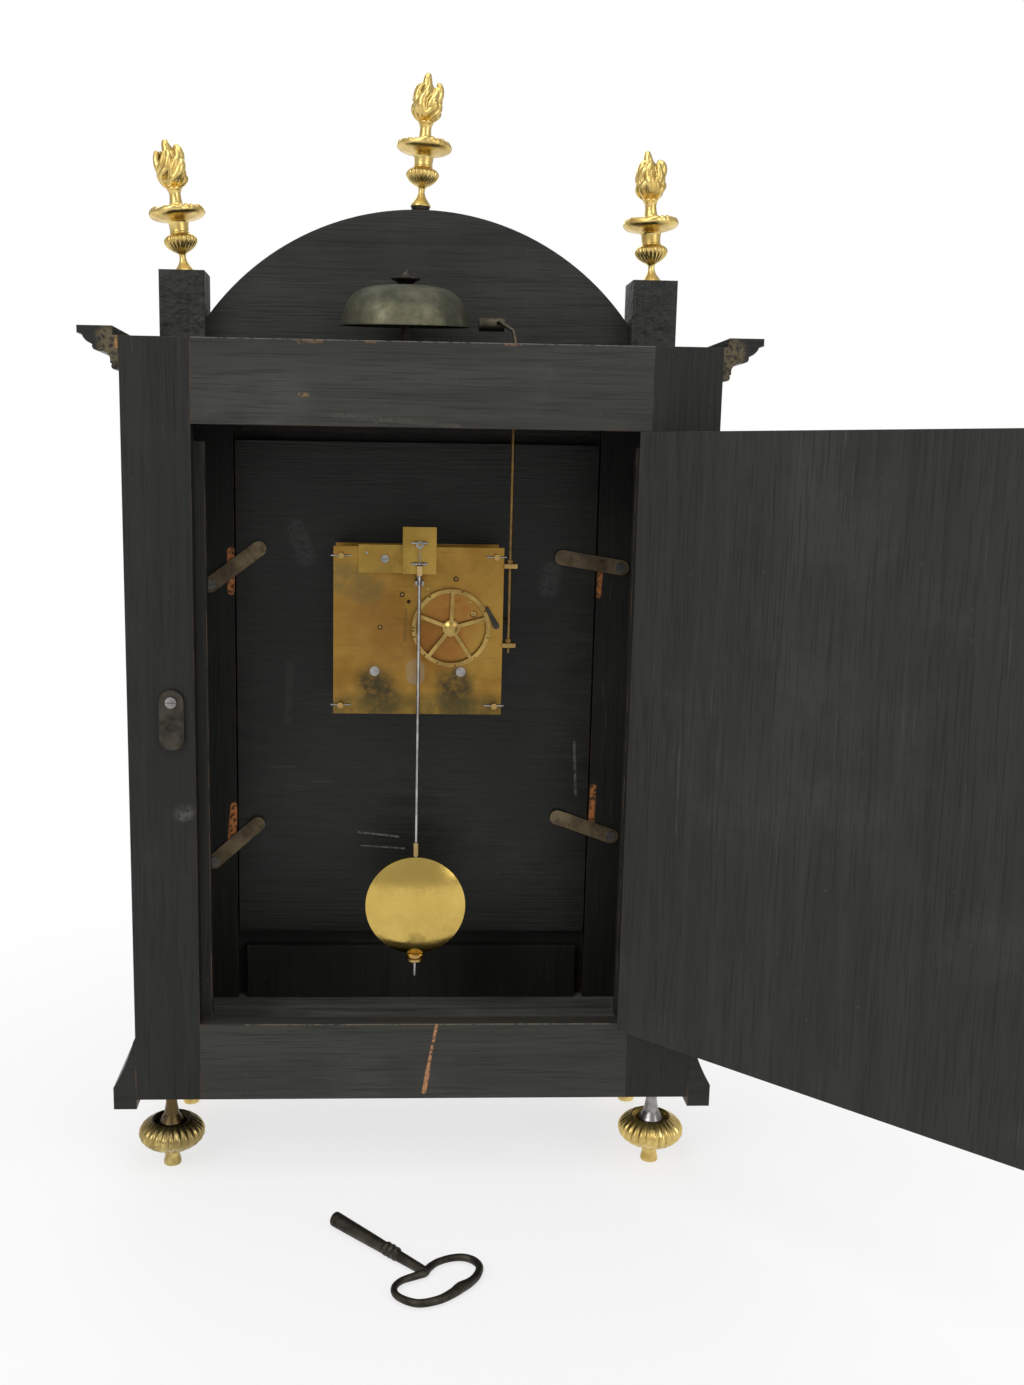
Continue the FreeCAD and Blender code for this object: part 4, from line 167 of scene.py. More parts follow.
def ebonised(name, grain="z", shade=0.02, contrast=0.22, marks=(), rough=0.5, wear=1.0,
             tone=(0.11, 0.055, 0.022), lumps=0.0):
    """Black-stained wood with open grain, faint brown rubbing and worn edges."""
    s = Surface(name, roughness=rough, specular=0.25)
    dark, light, cloudy, pore = (tuple(shade * level * part for part in TINT)
                                 for level in (1 - contrast, 1 + contrast, 1.5 + contrast, 0.3))
    long_scale = {"x": (4, 90, 90), "y": (90, 4, 90), "z": (90, 90, 4)}[grain]
    fine_scale = {"x": (25, 900, 900), "y": (900, 25, 900), "z": (900, 900, 25)}[grain]
    figure = s.noise(1.0, 6, 0.62, s.stretched(long_scale), 0.6)
    pores = s.noise(1.0, 3, 0.6, s.stretched(fine_scale))
    cloud = s.noise(11, 5, 0.65)
    base = s.mix(s.spread(figure, 0.30, 0.72), dark, light)
    base = s.mix(s.spread(cloud, 0.48, 0.75, 0.0, 0.7), base, cloudy)
    base = s.mix(s.spread(pores, 0.35, 0.5, 0.5, 0.0), base, pore)
    scuffs = s.spread(s.noise(1.0, 4, 0.7, s.stretched(tuple(v * 0.55 for v in fine_scale), (3, 5, 7))),
                      0.62, 0.72, 0.0, 0.4)
    base = s.mix(s.math("MULTIPLY", scuffs, s.spread(cloud, 0.4, 0.6)), base, (0.10, 0.095, 0.08))
    specks = s.noise(260, 2, 0.7)
    base = s.mix(s.spread(specks, 0.70, 0.78, 0.0, 0.2), base, (0.14, 0.12, 0.10))
    rubbed = s.math("MULTIPLY", s.edges(0.0012), s.spread(s.noise(60, 4, 0.7), 0.42, 0.62, 0.0, 0.75 * wear))
    base = s.mix(rubbed, base, tone)
    for start, end, width, soft, colour, amount in marks:
        ragged = s.spread(s.noise(420, 3, 0.75), 0.36, 0.56, 0.0, amount)
        base = s.mix(s.math("MULTIPLY", s.near(start, end, width, soft), ragged), base, colour)
    s.colour(base)
    s.roughness(s.spread(figure, 0.2, 0.8, rough - 0.08, rough + 0.12))
    relief = s.math("ADD", s.math("MULTIPLY", figure, 0.6), s.math("MULTIPLY", pores, 0.8))
    if lumps:
        relief = s.math("ADD", relief, s.math("MULTIPLY", s.noise(95, 4, 0.6), lumps))
    s.bump(relief, 0.00035, 0.75, 0.0006)
    return s.material


def metal(name, bright, dull, rough=0.3, scale=40, patina=None, amount=0.5, marks=(), brushed=None,
          bump=0.00008):
    """Aged metal: bright and dull patches, fine scratches and local marks: stains, and any painted shade
    listed among them.
    """
    s = Surface(name, roughness=rough, metallic=1.0)
    patches = s.noise(scale, 5, 0.6)
    base = s.mix(s.spread(patches, 0.35, 0.68), bright, dull)
    fine = s.noise(1.0, 3, 0.6, s.stretched(brushed or (700, 700, 700)))
    base = s.mix(s.spread(fine, 0.55, 0.8, 0.0, 0.25), base, tuple(c * 0.45 for c in dull))
    if patina:
        spots = s.spread(s.noise(scale * 1.7, 6, 0.7), 0.52, 0.68, 0.0, amount)
        base = s.mix(spots, base, patina)
    for start, end, width, soft, shade, share in marks:
        ragged = s.spread(s.noise(150, 4, 0.7), 0.30, 0.62, share * 0.45, share)
        base = s.mix(s.math("MULTIPLY", s.near(start, end, width, soft), ragged), base, shade)
    s.colour(base)
    s.roughness(s.math("ADD", s.spread(patches, 0.3, 0.7, rough - 0.07, rough + 0.12),
                       s.spread(fine, 0.4, 0.8, 0.0, 0.08)))
    s.bump(s.math("ADD", fine, patches), bump, 0.5)
    return s.material


ORANGE = (0.46, 0.17, 0.05)
PALE = (0.30, 0.29, 0.27)

# depths in mm: the case's rear face, and just off the rear faces of the case, dial board and plate
CASE_REAR, REAR, BOARD_REAR, PLATE_REAR = 62.5, 62.6, -37.4, 12.6

# the marks that the photograph shows, as (start, end, half width, soft edge, colour, amount) in mm
stile_marks = [
    ((134, REAR, 228), (134.4, REAR, 228), 3.5, 3.5, (0.075, 0.075, 0.07), 0.9),
    ((121.0, REAR, 101), (118.0, REAR, 104), 1.3, 0.8, (0.6, 0.58, 0.52), 1.0),
    ((140, REAR, 262), (139, REAR, 240), 9.0, 7.0, (0.012, 0.012, 0.011), 0.9),
]
rail_marks = [
    ((-12.7, REAR, 99), (-7.2, REAR, 68), 0.5, 0.7, (0.42, 0.20, 0.09), 1.2),
    ((-7.8, REAR, 70), (-5.6, REAR, 56), 0.8, 0.9, (0.42, 0.20, 0.09), 1.2),
    ((100, REAR, 99.4), (-116, REAR, 99.4), 0.4, 0.8, (0.20, 0.16, 0.11), 0.8),
    ((68, REAR, 491.0), (56, REAR, 491.5), 0.6, 1.6, (0.15, 0.09, 0.045), 0.7),
    ((31, REAR, 491.8), (27, REAR, 491.8), 0.6, 1.4, (0.15, 0.09, 0.045), 0.7),
    ((-45, REAR, 491.8), (-52, REAR, 491.8), 0.6, 1.4, (0.18, 0.10, 0.05), 0.7),
    ((126, REAR, 492.0), (-126, REAR, 492.0), 0.1, 0.7, (0.16, 0.15, 0.13), 0.9),
    ((67.5, REAR, 462.6), (63.5, REAR, 462.4), 0.5, 1.0, (0.20, 0.12, 0.05), 0.9),
    ((50, REAR, 452), (-20, REAR, 447), 0.4, 1.6, (0.085, 0.075, 0.055), 0.4),
]
WOOD_Z = ebonised("wood_upright", "z", 0.016, marks=stile_marks)
WOOD_X = ebonised("wood_level", "x", 0.036, marks=rail_marks, rough=0.55)
WOOD_SIDE = ebonised("wood_side", "z", 0.017, rough=0.42)
WOOD_TOP = ebonised("wood_top", "x", 0.022, rough=0.62)
WOOD_DOOR = ebonised("wood_door", "z", 0.026, rough=0.5, marks=[
    ((-137, -90, 355), (-170, -105, 352), 0.3, 0.6, (0.09, 0.09, 0.08), 0.5)])
WOOD_ARCH = ebonised("wood_arch", "x", 0.024, rough=0.5)
WOOD_FLOOR = ebonised("wood_floor", "x", 0.085, 0.4, rough=0.8, tone=(0.2, 0.15, 0.09))
WOOD_STOP = ebonised("wood_stop", "z", 0.018, 0.3, rough=0.6, tone=(0.2, 0.13, 0.07))
latch_rubs = [
    ((117, BOARD_REAR, 371), (117, BOARD_REAR, 346), 1.6, 1.4, ORANGE, 1.1),
    ((116.5, BOARD_REAR, 206), (118.5, BOARD_REAR, 184), 1.8, 1.4, ORANGE, 1.1),
    ((-117.5, BOARD_REAR, 366), (-116.5, BOARD_REAR, 346), 1.0, 1.2, ORANGE, 0.9),
    ((-117.5, BOARD_REAR, 220), (-117.0, BOARD_REAR, 192), 1.2, 1.3, ORANGE, 1.0),
]
WOOD_FRAME = ebonised("wood_frame", "z", 0.011, rough=0.6, marks=latch_rubs)
board_marks = [
    ((36, BOARD_REAR, 189), (10, BOARD_REAR, 186), 0.35, 0.5, PALE, 0.5),
    ((34, BOARD_REAR, 180), (6, BOARD_REAR, 178), 0.3, 0.5, PALE, 0.4),
    ((76, BOARD_REAR, 386), (70, BOARD_REAR, 368), 3.0, 5.0, (0.06, 0.06, 0.058), 0.5),
    ((-86, BOARD_REAR, 362), (-84, BOARD_REAR, 350), 3.0, 6.0, (0.07, 0.07, 0.068), 0.5),
    ((-104, BOARD_REAR, 250), (-106, BOARD_REAR, 215), 0.4, 0.8, PALE, 0.35),
    ((80, BOARD_REAR, 300), (82, BOARD_REAR, 262), 1.0, 3.0, (0.05, 0.05, 0.047), 0.5),
]
WOOD_BOARD = ebonised("wood_board", "x", 0.016, 0.3, rough=0.36, marks=board_marks)
end_wood = (0.105, 0.083, 0.045)
WOOD_MOULD = ebonised("wood_moulding", "x", 0.018, rough=0.36, tone=(0.2, 0.12, 0.06), wear=1.2, marks=[
    ((171, CASE_REAR, 491), (170, CASE_REAR, 481), 2.5, 5.5, end_wood, 1.1),
    ((-170, CASE_REAR, 490), (-169.5, CASE_REAR, 480), 3.5, 5.5, end_wood, 1.2),
    ((166.5, CASE_REAR, 493), (166, CASE_REAR, 486), 0.3, 0.9, (0.34, 0.17, 0.06), 0.9),
])
WOOD_BLOCK = ebonised("wood_block", "z", 0.026, rough=0.55, lumps=14.0)

BRASS = metal("brass_aged", (0.50, 0.34, 0.12), (0.32, 0.20, 0.07), 0.32, 60, (0.13, 0.08, 0.03), 0.5)
BRASS_DARK = metal("brass_dull", (0.26, 0.20, 0.12), (0.12, 0.09, 0.06), 0.5, 45, (0.05, 0.04, 0.03), 0.7)
WHEEL = metal("brass_wheel", (0.46, 0.32, 0.10), (0.30, 0.19, 0.06), 0.3, 70, (0.20, 0.10, 0.035), 0.4)
oil_sink = (0.05, 0.035, 0.02)
plate_marks = [
    ((22, PLATE_REAR, 286), (26, PLATE_REAR, 296), 5.0, 11.0, (0.045, 0.04, 0.025), 0.95),
    ((-24, PLATE_REAR, 284), (-22, PLATE_REAR, 297), 5.0, 10.0, (0.045, 0.04, 0.025), 0.95),
    ((46, PLATE_REAR, 280), (-46, PLATE_REAR, 280), 4.0, 9.0, (0.10, 0.08, 0.03), 0.7),
    ((-20, PLATE_REAR, 338), (-14, PLATE_REAR, 320), 9.0, 12.0, (0.28, 0.11, 0.03), 0.8),
    ((30, PLATE_REAR, 342), (18, PLATE_REAR, 318), 8.0, 16.0, (0.28, 0.14, 0.04), 0.5),
    ((1.4, PLATE_REAR, 305), (1.4, PLATE_REAR, 300.5), 5.0, 1.0, (0.30, 0.24, 0.17), 0.6),
    ((8, PLATE_REAR, 322), (7.5, PLATE_REAR, 340), 0.4, 1.0, (0.12, 0.08, 0.03), 0.5),
    ((30, PLATE_REAR, 352), (45, PLATE_REAR, 360), 5.0, 9.0, (0.14, 0.11, 0.045), 0.6),
    ((22.9, PLATE_REAR, 329.7), (22.9, PLATE_REAR, 329.8), 1.3, 0.6, oil_sink, 1.0),
    ((9.8, PLATE_REAR, 349.5), (9.8, PLATE_REAR, 349.6), 1.3, 0.6, oil_sink, 1.0),
    ((-22.3, PLATE_REAR, 359.1), (-22.3, PLATE_REAR, 359.2), 1.3, 0.6, oil_sink, 1.0),
    # painted shade: a near-black disc stands in for the open hole in the plate
    ((5.8, PLATE_REAR, 345.2), (5.8, PLATE_REAR, 345.3), 1.1, 0.3, (0.01, 0.008, 0.006), 1.2),
]
# painted shade: both brass colours of the plates are set darker than true brass, for the shade of the case
# they stand in; the tarnish patches on top are their own
PLATE_PAINTED_SHADE = metal("brass_plate_painted_shade", (0.35, 0.205, 0.045), (0.245, 0.13, 0.026), 0.36, 26, (0.15, 0.10, 0.03), 0.5,
              marks=plate_marks, brushed=(60, 900, 700))
COCK = metal("brass_cock", (0.40, 0.26, 0.06), (0.30, 0.19, 0.04), 0.33, 40, (0.22, 0.14, 0.05), 0.4)
BOB = metal("brass_polished", (0.66, 0.47, 0.13), (0.58, 0.40, 0.10), 0.13, 22, (0.42, 0.29, 0.08), 0.25,
            bump=0.00001)
STEEL = metal("steel_grey", (0.42, 0.41, 0.40), (0.24, 0.23, 0.22), 0.34, 90, (0.10, 0.085, 0.07), 0.4)
BLUED = metal("steel_blued", (0.05, 0.06, 0.10), (0.03, 0.03, 0.05), 0.3, 120)
IRON = metal("iron_forged", (0.075, 0.068, 0.055), (0.034, 0.031, 0.025), 0.44, 120, (0.10, 0.065, 0.035),
             0.35, bump=0.0003)
HAMMER = metal("iron_hammer", (0.10, 0.088, 0.065), (0.045, 0.04, 0.03), 0.46, 120, (0.16, 0.12, 0.07), 0.4,
               bump=0.0003, marks=[((-55, 0, 300), (-55, 0, 486), 14.0, 4.0, (0.24, 0.145, 0.05), 1.0)])
BELL = metal("bell_metal", (0.115, 0.117, 0.083), (0.07, 0.073, 0.052), 0.55, 50, (0.19, 0.19, 0.13), 0.5,
             marks=[((38, 30, 509), (-20, 34, 509), 4.0, 5.0, (0.32, 0.29, 0.16), 0.25)])
FOOT_PIN = metal("foot_pin", (0.42, 0.41, 0.40), (0.24, 0.23, 0.22), 0.34, 90, (0.10, 0.085, 0.07), 0.4,
                 marks=[((148, 40.5, 25), (148, 40.5, 60), 8.0, 2.0, (0.12, 0.08, 0.035), 1.2)])


# heights in m where the ferrule starts and ends and the block starts, and the width of the change
FERRULE_LOW, FERRULE_HIGH, BLOCK_LOW, FADE = 0.1918, 0.1999, 0.3615, 0.0003


def pendulum_steel():
    """Grey steel, with a brass ferrule above the bob and a brass block at the top."""
    s = Surface("rod_steel", roughness=0.34, metallic=1.0)
    patches = s.noise(90, 5, 0.6)
    grey = s.mix(s.spread(patches, 0.35, 0.65), (0.52, 0.50, 0.48), (0.30, 0.28, 0.26))
    brass = s.mix(s.spread(patches, 0.35, 0.65), (0.55, 0.40, 0.18), (0.30, 0.20, 0.09))
    height = s.axis(2)
    below_top = s.spread(height, FERRULE_HIGH, FERRULE_HIGH + FADE, 1.0, 0.0)
    at_ferrule = s.math("MULTIPLY", s.spread(height, FERRULE_LOW, FERRULE_LOW + FADE), below_top)
    at_block = s.spread(height, BLOCK_LOW, BLOCK_LOW + FADE)
    s.colour(s.mix(s.math("ADD", at_ferrule, at_block, clamp=True), grey, brass))
    s.bump(patches, 0.0001, 0.4)
    return s.material


def gilt():
    """Gilded castings: bright on the high places, painted shade darkening the recesses, one foot darker."""
    s = Surface("gilt_cast", roughness=0.3, metallic=1.0)
    patches = s.noise(110, 5, 0.6)
    base = s.mix(s.spread(patches, 0.35, 0.7), (0.84, 0.64, 0.24), (0.60, 0.42, 0.13))
    # painted shade: an ambient-occlusion mask darkens the recesses of the castings to a dark olive
    hollow_shade = s.node("ShaderNodeAmbientOcclusion", samples=8, only_local=True)
    hollow_shade.inputs["Distance"].default_value = 0.0028
    base = s.mix(s.spread(hollow_shade.outputs["AO"], 0.92, 0.45, 0.0, 0.9), base, (0.13, 0.09, 0.025))
    base = s.mix(s.spread(s.noise(45, 5, 0.7), 0.56, 0.70, 0.0, 0.4), base, (0.36, 0.24, 0.07))
    # one foot is made darker: nearly black towards its top under the case, dull brown lower down
    dark_foot_top = s.math("MULTIPLY", s.near((148, 40, 31), (148, 40, 29), 11.0, 9.0),
                   s.spread(s.noise(70, 4, 0.7), 0.28, 0.55, 0.75, 1.0))
    base = s.mix(dark_foot_top, base, (0.03, 0.027, 0.02))
    base = s.mix(s.math("MULTIPLY", s.near((148, 40, 22), (148, 40, 5), 24.0, 4.0),
                        s.spread(s.noise(55, 5, 0.7), 0.3, 0.6, 0.25, 0.8)), base, (0.22, 0.17, 0.07))
    s.colour(base)
    s.roughness(s.spread(patches, 0.3, 0.7, 0.24, 0.42))
    s.bump(s.noise(500, 4, 0.7), 0.0002, 0.4)
    return s.material


def clear_glass():
    s = Surface("sheet_glass", roughness=0.03, specular=0.5)
    s.shader.inputs["Transmission Weight"].default_value = 1.0
    s.shader.inputs["IOR"].default_value = 1.45
    s.colour(s.mix(s.spread(s.noise(14, 3, 0.6), 0.4, 0.7), (0.96, 0.985, 0.975), (0.93, 0.965, 0.95)))
    s.bump(s.noise(9, 2, 0.5), 0.0002, 0.05)
    return s.material


def silvered():
    s = Surface("silvered_ring", roughness=0.42, metallic=0.6)
    tone = s.noise(70, 5, 0.65)
    s.colour(s.mix(s.spread(tone, 0.4, 0.7), (0.66, 0.65, 0.60), (0.48, 0.45, 0.38)))
    s.bump(s.noise(1.0, 3, 0.6, s.stretched((900, 900, 900))), 0.00006, 0.5)
    return s.material


ROD_STEEL, GILT, GLASS, RING = pendulum_steel(), gilt(), clear_glass(), silvered()

finishes = {
    "back_stiles": WOOD_Z, "back_rails": WOOD_X, "door_stops": WOOD_STOP, "side_panels": WOOD_SIDE,
    "top_board": WOOD_TOP, "floor_board": WOOD_FLOOR, "front_frame": WOOD_FRAME, "arch_board": WOOD_ARCH,
    "finial_blocks": WOOD_BLOCK, "cornice": WOOD_MOULD, "base_moulding": WOOD_MOULD, "finials": GILT,
    "feet": GILT, "foot_screws": FOOT_PIN, "dial_board": WOOD_BOARD, "chapter_ring": RING,
    "front_door_frame": WOOD_SIDE, "front_door_glass": GLASS, "front_door_hinges": BRASS_DARK,
    "case_hinge_leaves": BRASS_DARK, "rear_door": WOOD_DOOR, "rear_door_hinges": BRASS_DARK,
    "turn_button": IRON, "case_screws": STEEL, "latch_upper_left": BRASS_DARK,
    "latch_upper_right": BRASS_DARK, "latch_lower_left": BRASS_DARK, "latch_lower_right": BRASS_DARK,
    "back_plate": PLATE_PAINTED_SHADE, "front_plate": PLATE_PAINTED_SHADE, "pillars": BRASS, "movement_pins_and_screws": STEEL,
    "going_barrel": BRASS, "strike_barrel": BRASS, "going_winding_arbor": STEEL,
    "strike_winding_arbor": STEEL, "intermediate_wheel": WHEEL, "centre_wheel": WHEEL,
    "third_wheel": WHEEL, "escape_wheel": WHEEL, "pallets_and_crutch": STEEL,
    "strike_second_wheel": WHEEL, "count_wheel": WHEEL, "pin_wheel": WHEEL, "fly": BRASS,
    "suspension_cock": COCK, "suspension_spring": STEEL, "pendulum_rod": ROD_STEEL,
    "pendulum_bob": BOB, "rating_nut": BRASS, "bell": BELL, "bell_stand": IRON, "bell_nut": IRON,
    "hammer": HAMMER, "hammer_cocks": BRASS, "winding_key": IRON, "minute_hand": BLUED, "hour_hand": BLUED,
    "minute_wheel": WHEEL, "count_detent": IRON,
}
for name, material in finishes.items():
    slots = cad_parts[name].data.materials
    slots.clear()
    slots.append(material)


# ---------------------------------------------------------------- mesh helpers

def new_object(name, vertices, faces, material, smooth=True):
    mesh = bpy.data.meshes.new(name)
    mesh.from_pydata([tuple(v) for v in vertices], [], faces)
    mesh.update()
    made = bpy.data.objects.new(name, mesh)
    bpy.context.scene.collection.objects.link(made)
    made.data.materials.append(material)
    for face in mesh.polygons:
        face.use_smooth = smooth
    return made


def ring_mesh(rings):
    """Faces of a closed skin through rings of equally many points, capped at both ends."""
    count = len(rings[0])
    vertices = [point for ring in rings for point in ring]
    faces = []
    for level in range(len(rings) - 1):
        low, high = level * count, (level + 1) * count
        for i in range(count):
            j = (i + 1) % count
            faces.append((low + i, low + j, high + j, high + i))
    faces.append(tuple(range(count - 1, -1, -1)))
    last = (len(rings) - 1) * count
    faces.append(tuple(range(last, last + count)))
    return vertices, faces


def smooth_profile(points, steps):
    """Catmull-Rom samples through (height, radius, ...) rows, in order of height."""
    rows = [points[0]] + list(points) + [points[-1]]
    out = []
    for i in range(1, len(rows) - 2):
        p0, p1, p2, p3 = rows[i - 1], rows[i], rows[i + 1], rows[i + 2]
        for k in range(steps):
            t = k / steps
            out.append(tuple(
                0.5 * (2 * b + (c - a) * t + (2 * a - 5 * b + 4 * c - d) * t * t
                       + (3 * b - a - 3 * c + d) * t * t * t)
                for a, b, c, d in zip(p0, p1, p2, p3)))
    out.append(tuple(points[-1]))
    return out


def wave(angle, count, sharp=1.0):
    """0 in the grooves and 1 on the ribs of a fluted surface."""
    return abs(math.cos(count * angle / 2)) ** sharp


# ---------------------------------------------------------------- finials

# (height, radius, flute depth, leaf lump height) of the cast urn, without the flame
URN = [
    (-0.2, 6.2, 0, 0), (0.0, 6.3, 0, 0), (1.2, 5.9, 0, 0), (3.2, 4.5, 0, 0), (5.6, 2.9, 0, 0),
    (8.4, 2.0, 0, 0), (10.6, 2.2, 0, 0), (11.8, 3.4, 0.1, 0), (13.0, 5.6, 0.5, 0),
    (15.2, 8.4, 0.9, 0), (18.0, 10.1, 1.0, 0), (20.0, 9.8, 0.8, 0), (21.6, 8.2, 0.4, 0),
    (22.5, 6.2, 0, 0), (23.4, 6.0, 0, 0), (24.2, 5.7, 0, 0), (27.0, 5.8, 0, 0),
    (29.4, 6.2, 0, 0), (30.4, 7.6, 0, 0), (31.2, 11.0, 0, 0), (32.2, 14.6, 0, 0),
    (33.6, 16.6, 0, 0.2), (35.0, 17.0, 0, 0.8), (36.2, 16.2, 0, 1.3), (36.8, 14.4, 0, 1.6),
    (37.0, 11.6, 0, 1.3), (37.4, 8.6, 0, 0.6), (38.4, 5.6, 0, 0.1), (40.6, 4.1, 0, 0),
    (45.0, 3.45, 0, 0), (47.6, 3.8, 0, 0), (48.6, 4.4, 0, 0), (49.6, 4.5, 0, 0), (50.4, 4.0, 0, 0),
    (51.2, 3.0, 0, 0),
]


def finial_vertices(shape_seed):
    """Rings of the urn: vertical flutes on the ball, leaves and beads on the pan's upper side."""
    count = 144
    chance = random.Random(shape_seed)
    lumps = [(chance.uniform(0, math.tau), chance.uniform(0.6, 1.0)) for _ in range(18)]
    rings = []
    for height, radius, flute, leaf in smooth_profile(URN, 4):
        ring = []
        for i in range(count):
            angle = math.tau * i / count
            r = radius - flute * (1 - wave(angle, 22, 0.8))
            lift = 0.0
            if leaf > 0:
                swell = wave(angle + 0.3 * math.sin(3 * angle), 15, 0.8)
                jitter = sum(power * math.exp(-((angle - at + math.pi) % math.tau - math.pi) ** 2 / 0.012)
                             for at, power in lumps)
                lift = leaf * (0.75 * swell + 0.4 * min(jitter, 1.2))
                r += 0.35 * leaf * (swell - 0.5)
            ring.append((r * math.cos(angle), r * math.sin(angle), height + lift))
        rings.append(ring)
    return ring_mesh(rings)


def tube_mesh(points, sides=16, steps=5):
    """A closed skin along (x, y, z, radius) rows, with rounded ends."""
    rows = [(Vector(row[:3]), row[3]) for row in smooth_profile(points, steps)]
    ways = []
    for i in range(len(rows)):
        before, after = rows[max(i - 1, 0)][0], rows[min(i + 1, len(rows) - 1)][0]
        ways.append((after - before).normalized())
    spots = [(rows[0][0] - ways[0] * rows[0][1] * k, rows[0][1] * r, ways[0])
             for k, r in ((0.98, 0.15), (0.85, 0.52), (0.5, 0.86))]
    spots += [(spot, radius, way) for (spot, radius), way in zip(rows, ways)]
    spots += [(rows[-1][0] + ways[-1] * rows[-1][1] * k, rows[-1][1] * r, ways[-1])
              for k, r in ((0.5, 0.86), (0.85, 0.52), (0.98, 0.15))]
    side = ways[0].orthogonal().normalized()
    rings = []
    for spot, radius, way in spots:
        side = (side - way * side.dot(way)).normalized()
        across = way.cross(side)
        rings.append([spot + (side * math.cos(math.tau * i / sides) + across * math.sin(math.tau * i / sides))
                      * radius for i in range(sides)])
    return ring_mesh(rings)


def flame_parts(shape, seed):
    """Tubes of one cast flame: a core, twisted lobes round it, and its own tips."""
    chance = random.Random(seed)
    parts = [[(0, 0, 49.5, 3.0), (0, 0, 53, 5.6), (0, 0, 58, 7.2), (0.2, 0, 64, 6.6), (0.6, 0, 69, 4.6),
              (1.0, 0, 73, 2.6)]]
    for count, low, tall, reach, fat in ((8, 50.8, 19.5, 7.0, 2.5), (7, 50.6, 12.0, 7.6, 2.3)):
        for i in range(count):
            start = math.tau * (i + 0.5 * (count == 7)) / count + chance.uniform(-0.12, 0.12)
            height, turn = tall * chance.uniform(0.88, 1.04), chance.uniform(0.7, 1.1)
            phase = chance.uniform(0, math.tau)
            lobe = []
            for t in (0, 0.2, 0.4, 0.6, 0.8, 1.0):
                angle = start + turn * t + 0.16 * math.sin(7 * t + phase)
                out = 2.6 + (reach - 2.6) * math.sin(math.pi * (0.06 + 0.72 * t)) ** 0.8
                wide = 0.9 + (fat - 0.9) * math.sin(math.pi * (0.1 + 0.84 * t))
                lobe.append((out * math.cos(angle), out * math.sin(angle), low + height * t, wide))
            parts.append(lobe)
    return [tube_mesh(points) for points in parts + FLAME_TIPS[shape]]


# (x, y, height, radius) rows of the tips that give each flame its own outline
FLAME_TIPS = {
    "plus": [
        [(0.4, 1.0, 66, 3.6), (1.4, 1.2, 71, 3.1), (2.0, 1.0, 74.5, 2.6), (2.2, 0.6, 76.0, 2.2)],
        [(5.2, 2.5, 56, 2.6), (7.6, 2.5, 62, 2.6), (8.3, 2.2, 67, 2.1), (8.0, 1.8, 70.2, 1.6)],
        [(-3.6, 2.5, 60, 3.4), (-5.6, 2.2, 66, 3.2), (-5.4, 1.6, 70.5, 2.8), (-4.4, 1.2, 72.6, 2.2)],
        [(-2.0, 5.0, 53, 2.6), (-4.8, 5.6, 58, 3.0), (-6.4, 4.6, 62, 2.8), (-5.6, 4.0, 65, 2.0)],
        [(1.0, -3.0, 62, 3.2), (2.4, -4.0, 68, 2.6), (2.0, -3.4, 72, 1.8)],
    ],
    "minus": [
        [(0.4, 0.8, 66, 3.8), (1.2, 1.0, 71, 3.2), (1.6, 0.8, 74.8, 2.6), (1.6, 0.4, 76.2, 2.2)],
        [(-4.0, 2.0, 60, 3.0), (-6.6, 2.0, 65, 3.2), (-7.0, 1.6, 69, 2.9), (-5.8, 1.2, 70.8, 2.2)],
        [(4.6, 2.6, 58, 3.2), (5.8, 2.2, 64, 3.2), (5.2, 1.6, 69, 2.6), (4.2, 1.4, 71.0, 1.9)],
        [(0.6, 5.4, 54, 3.2), (1.4, 6.4, 59, 3.4), (0.8, 5.4, 64, 2.8)],
        [(-1.0, -3.4, 61, 3.2), (-2.0, -4.0, 67, 2.6), (-1.4, -3.0, 71.5, 1.8)],
    ],
    "centre": [
        [(0, 0.8, 66, 3.8), (0.6, 1.0, 71, 3.2), (0.6, 0.8, 74.6, 2.7), (0.4, 0.4, 76.0, 2.2)],
        [(-4.2, 2.4, 58, 2.8), (-6.8, 2.2, 64, 2.8), (-7.4, 1.8, 68.4, 2.3), (-6.6, 1.4, 70.8, 1.8)],
        [(4.4, 2.4, 58, 3.0), (6.0, 2.0, 64, 2.9), (5.6, 1.4, 68.6, 2.2)],
        [(1.8, 5.0, 53, 3.0), (3.4, 5.8, 58, 3.2), (2.6, 5.2, 63, 2.6)],
        [(-1.4, -3.4, 61, 3.2), (-1.8, -4.2, 67, 2.6), (-1.0, -3.2, 71.8, 1.8)],
    ],
}


def finial(name, place, lean, plug, shape, seed):
    """One gilt finial, leaning by so many degrees towards +X."""
    turn = Matrix.Rotation(math.radians(lean), 4, "Y")
    spot = Vector(place)

    def placed(vertices):
        return [(spot + turn @ Vector(v)) * MM for v in vertices]

    vertices, faces = finial_vertices(seed)
    urn = new_object(name, placed(vertices), faces, GILT)
    vertices, faces = [], []
    for more_vertices, more_faces in flame_parts(shape, seed):
        start = len(vertices)
        vertices = vertices + more_vertices
        faces = faces + [tuple(start + i for i in face) for face in more_faces]
    flame = new_object(name + "_flame", placed(vertices), faces, GILT)
    remesh = flame.modifiers.new("cast_skin", "REMESH")
    remesh.mode = "VOXEL"
    remesh.voxel_size = 0.00034
    remesh.use_smooth_shade = True
    smooth = flame.modifiers.new("soft_cast", "SMOOTH")
    smooth.factor = 0.5
    smooth.iterations = 4
    for piece in (urn, flame):
        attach(piece, "case")
        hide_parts("finials")
    if plug:
        rings = []
        for z, r in ((-3.0, 5.2), (-2.9, 5.4), (-1.6, 5.6), (-0.5, 5.9), (0.0, 6.2)):
            rings.append([Vector((r * math.cos(math.tau * i / 40), r * math.sin(math.tau * i / 40), z))
                          for i in range(40)])
        plug_vertices, plug_faces = ring_mesh(rings)
        collar = new_object(name + "_plug", [(spot + v) * MM for v in plug_vertices], plug_faces, IRON)
        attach(collar, "case")


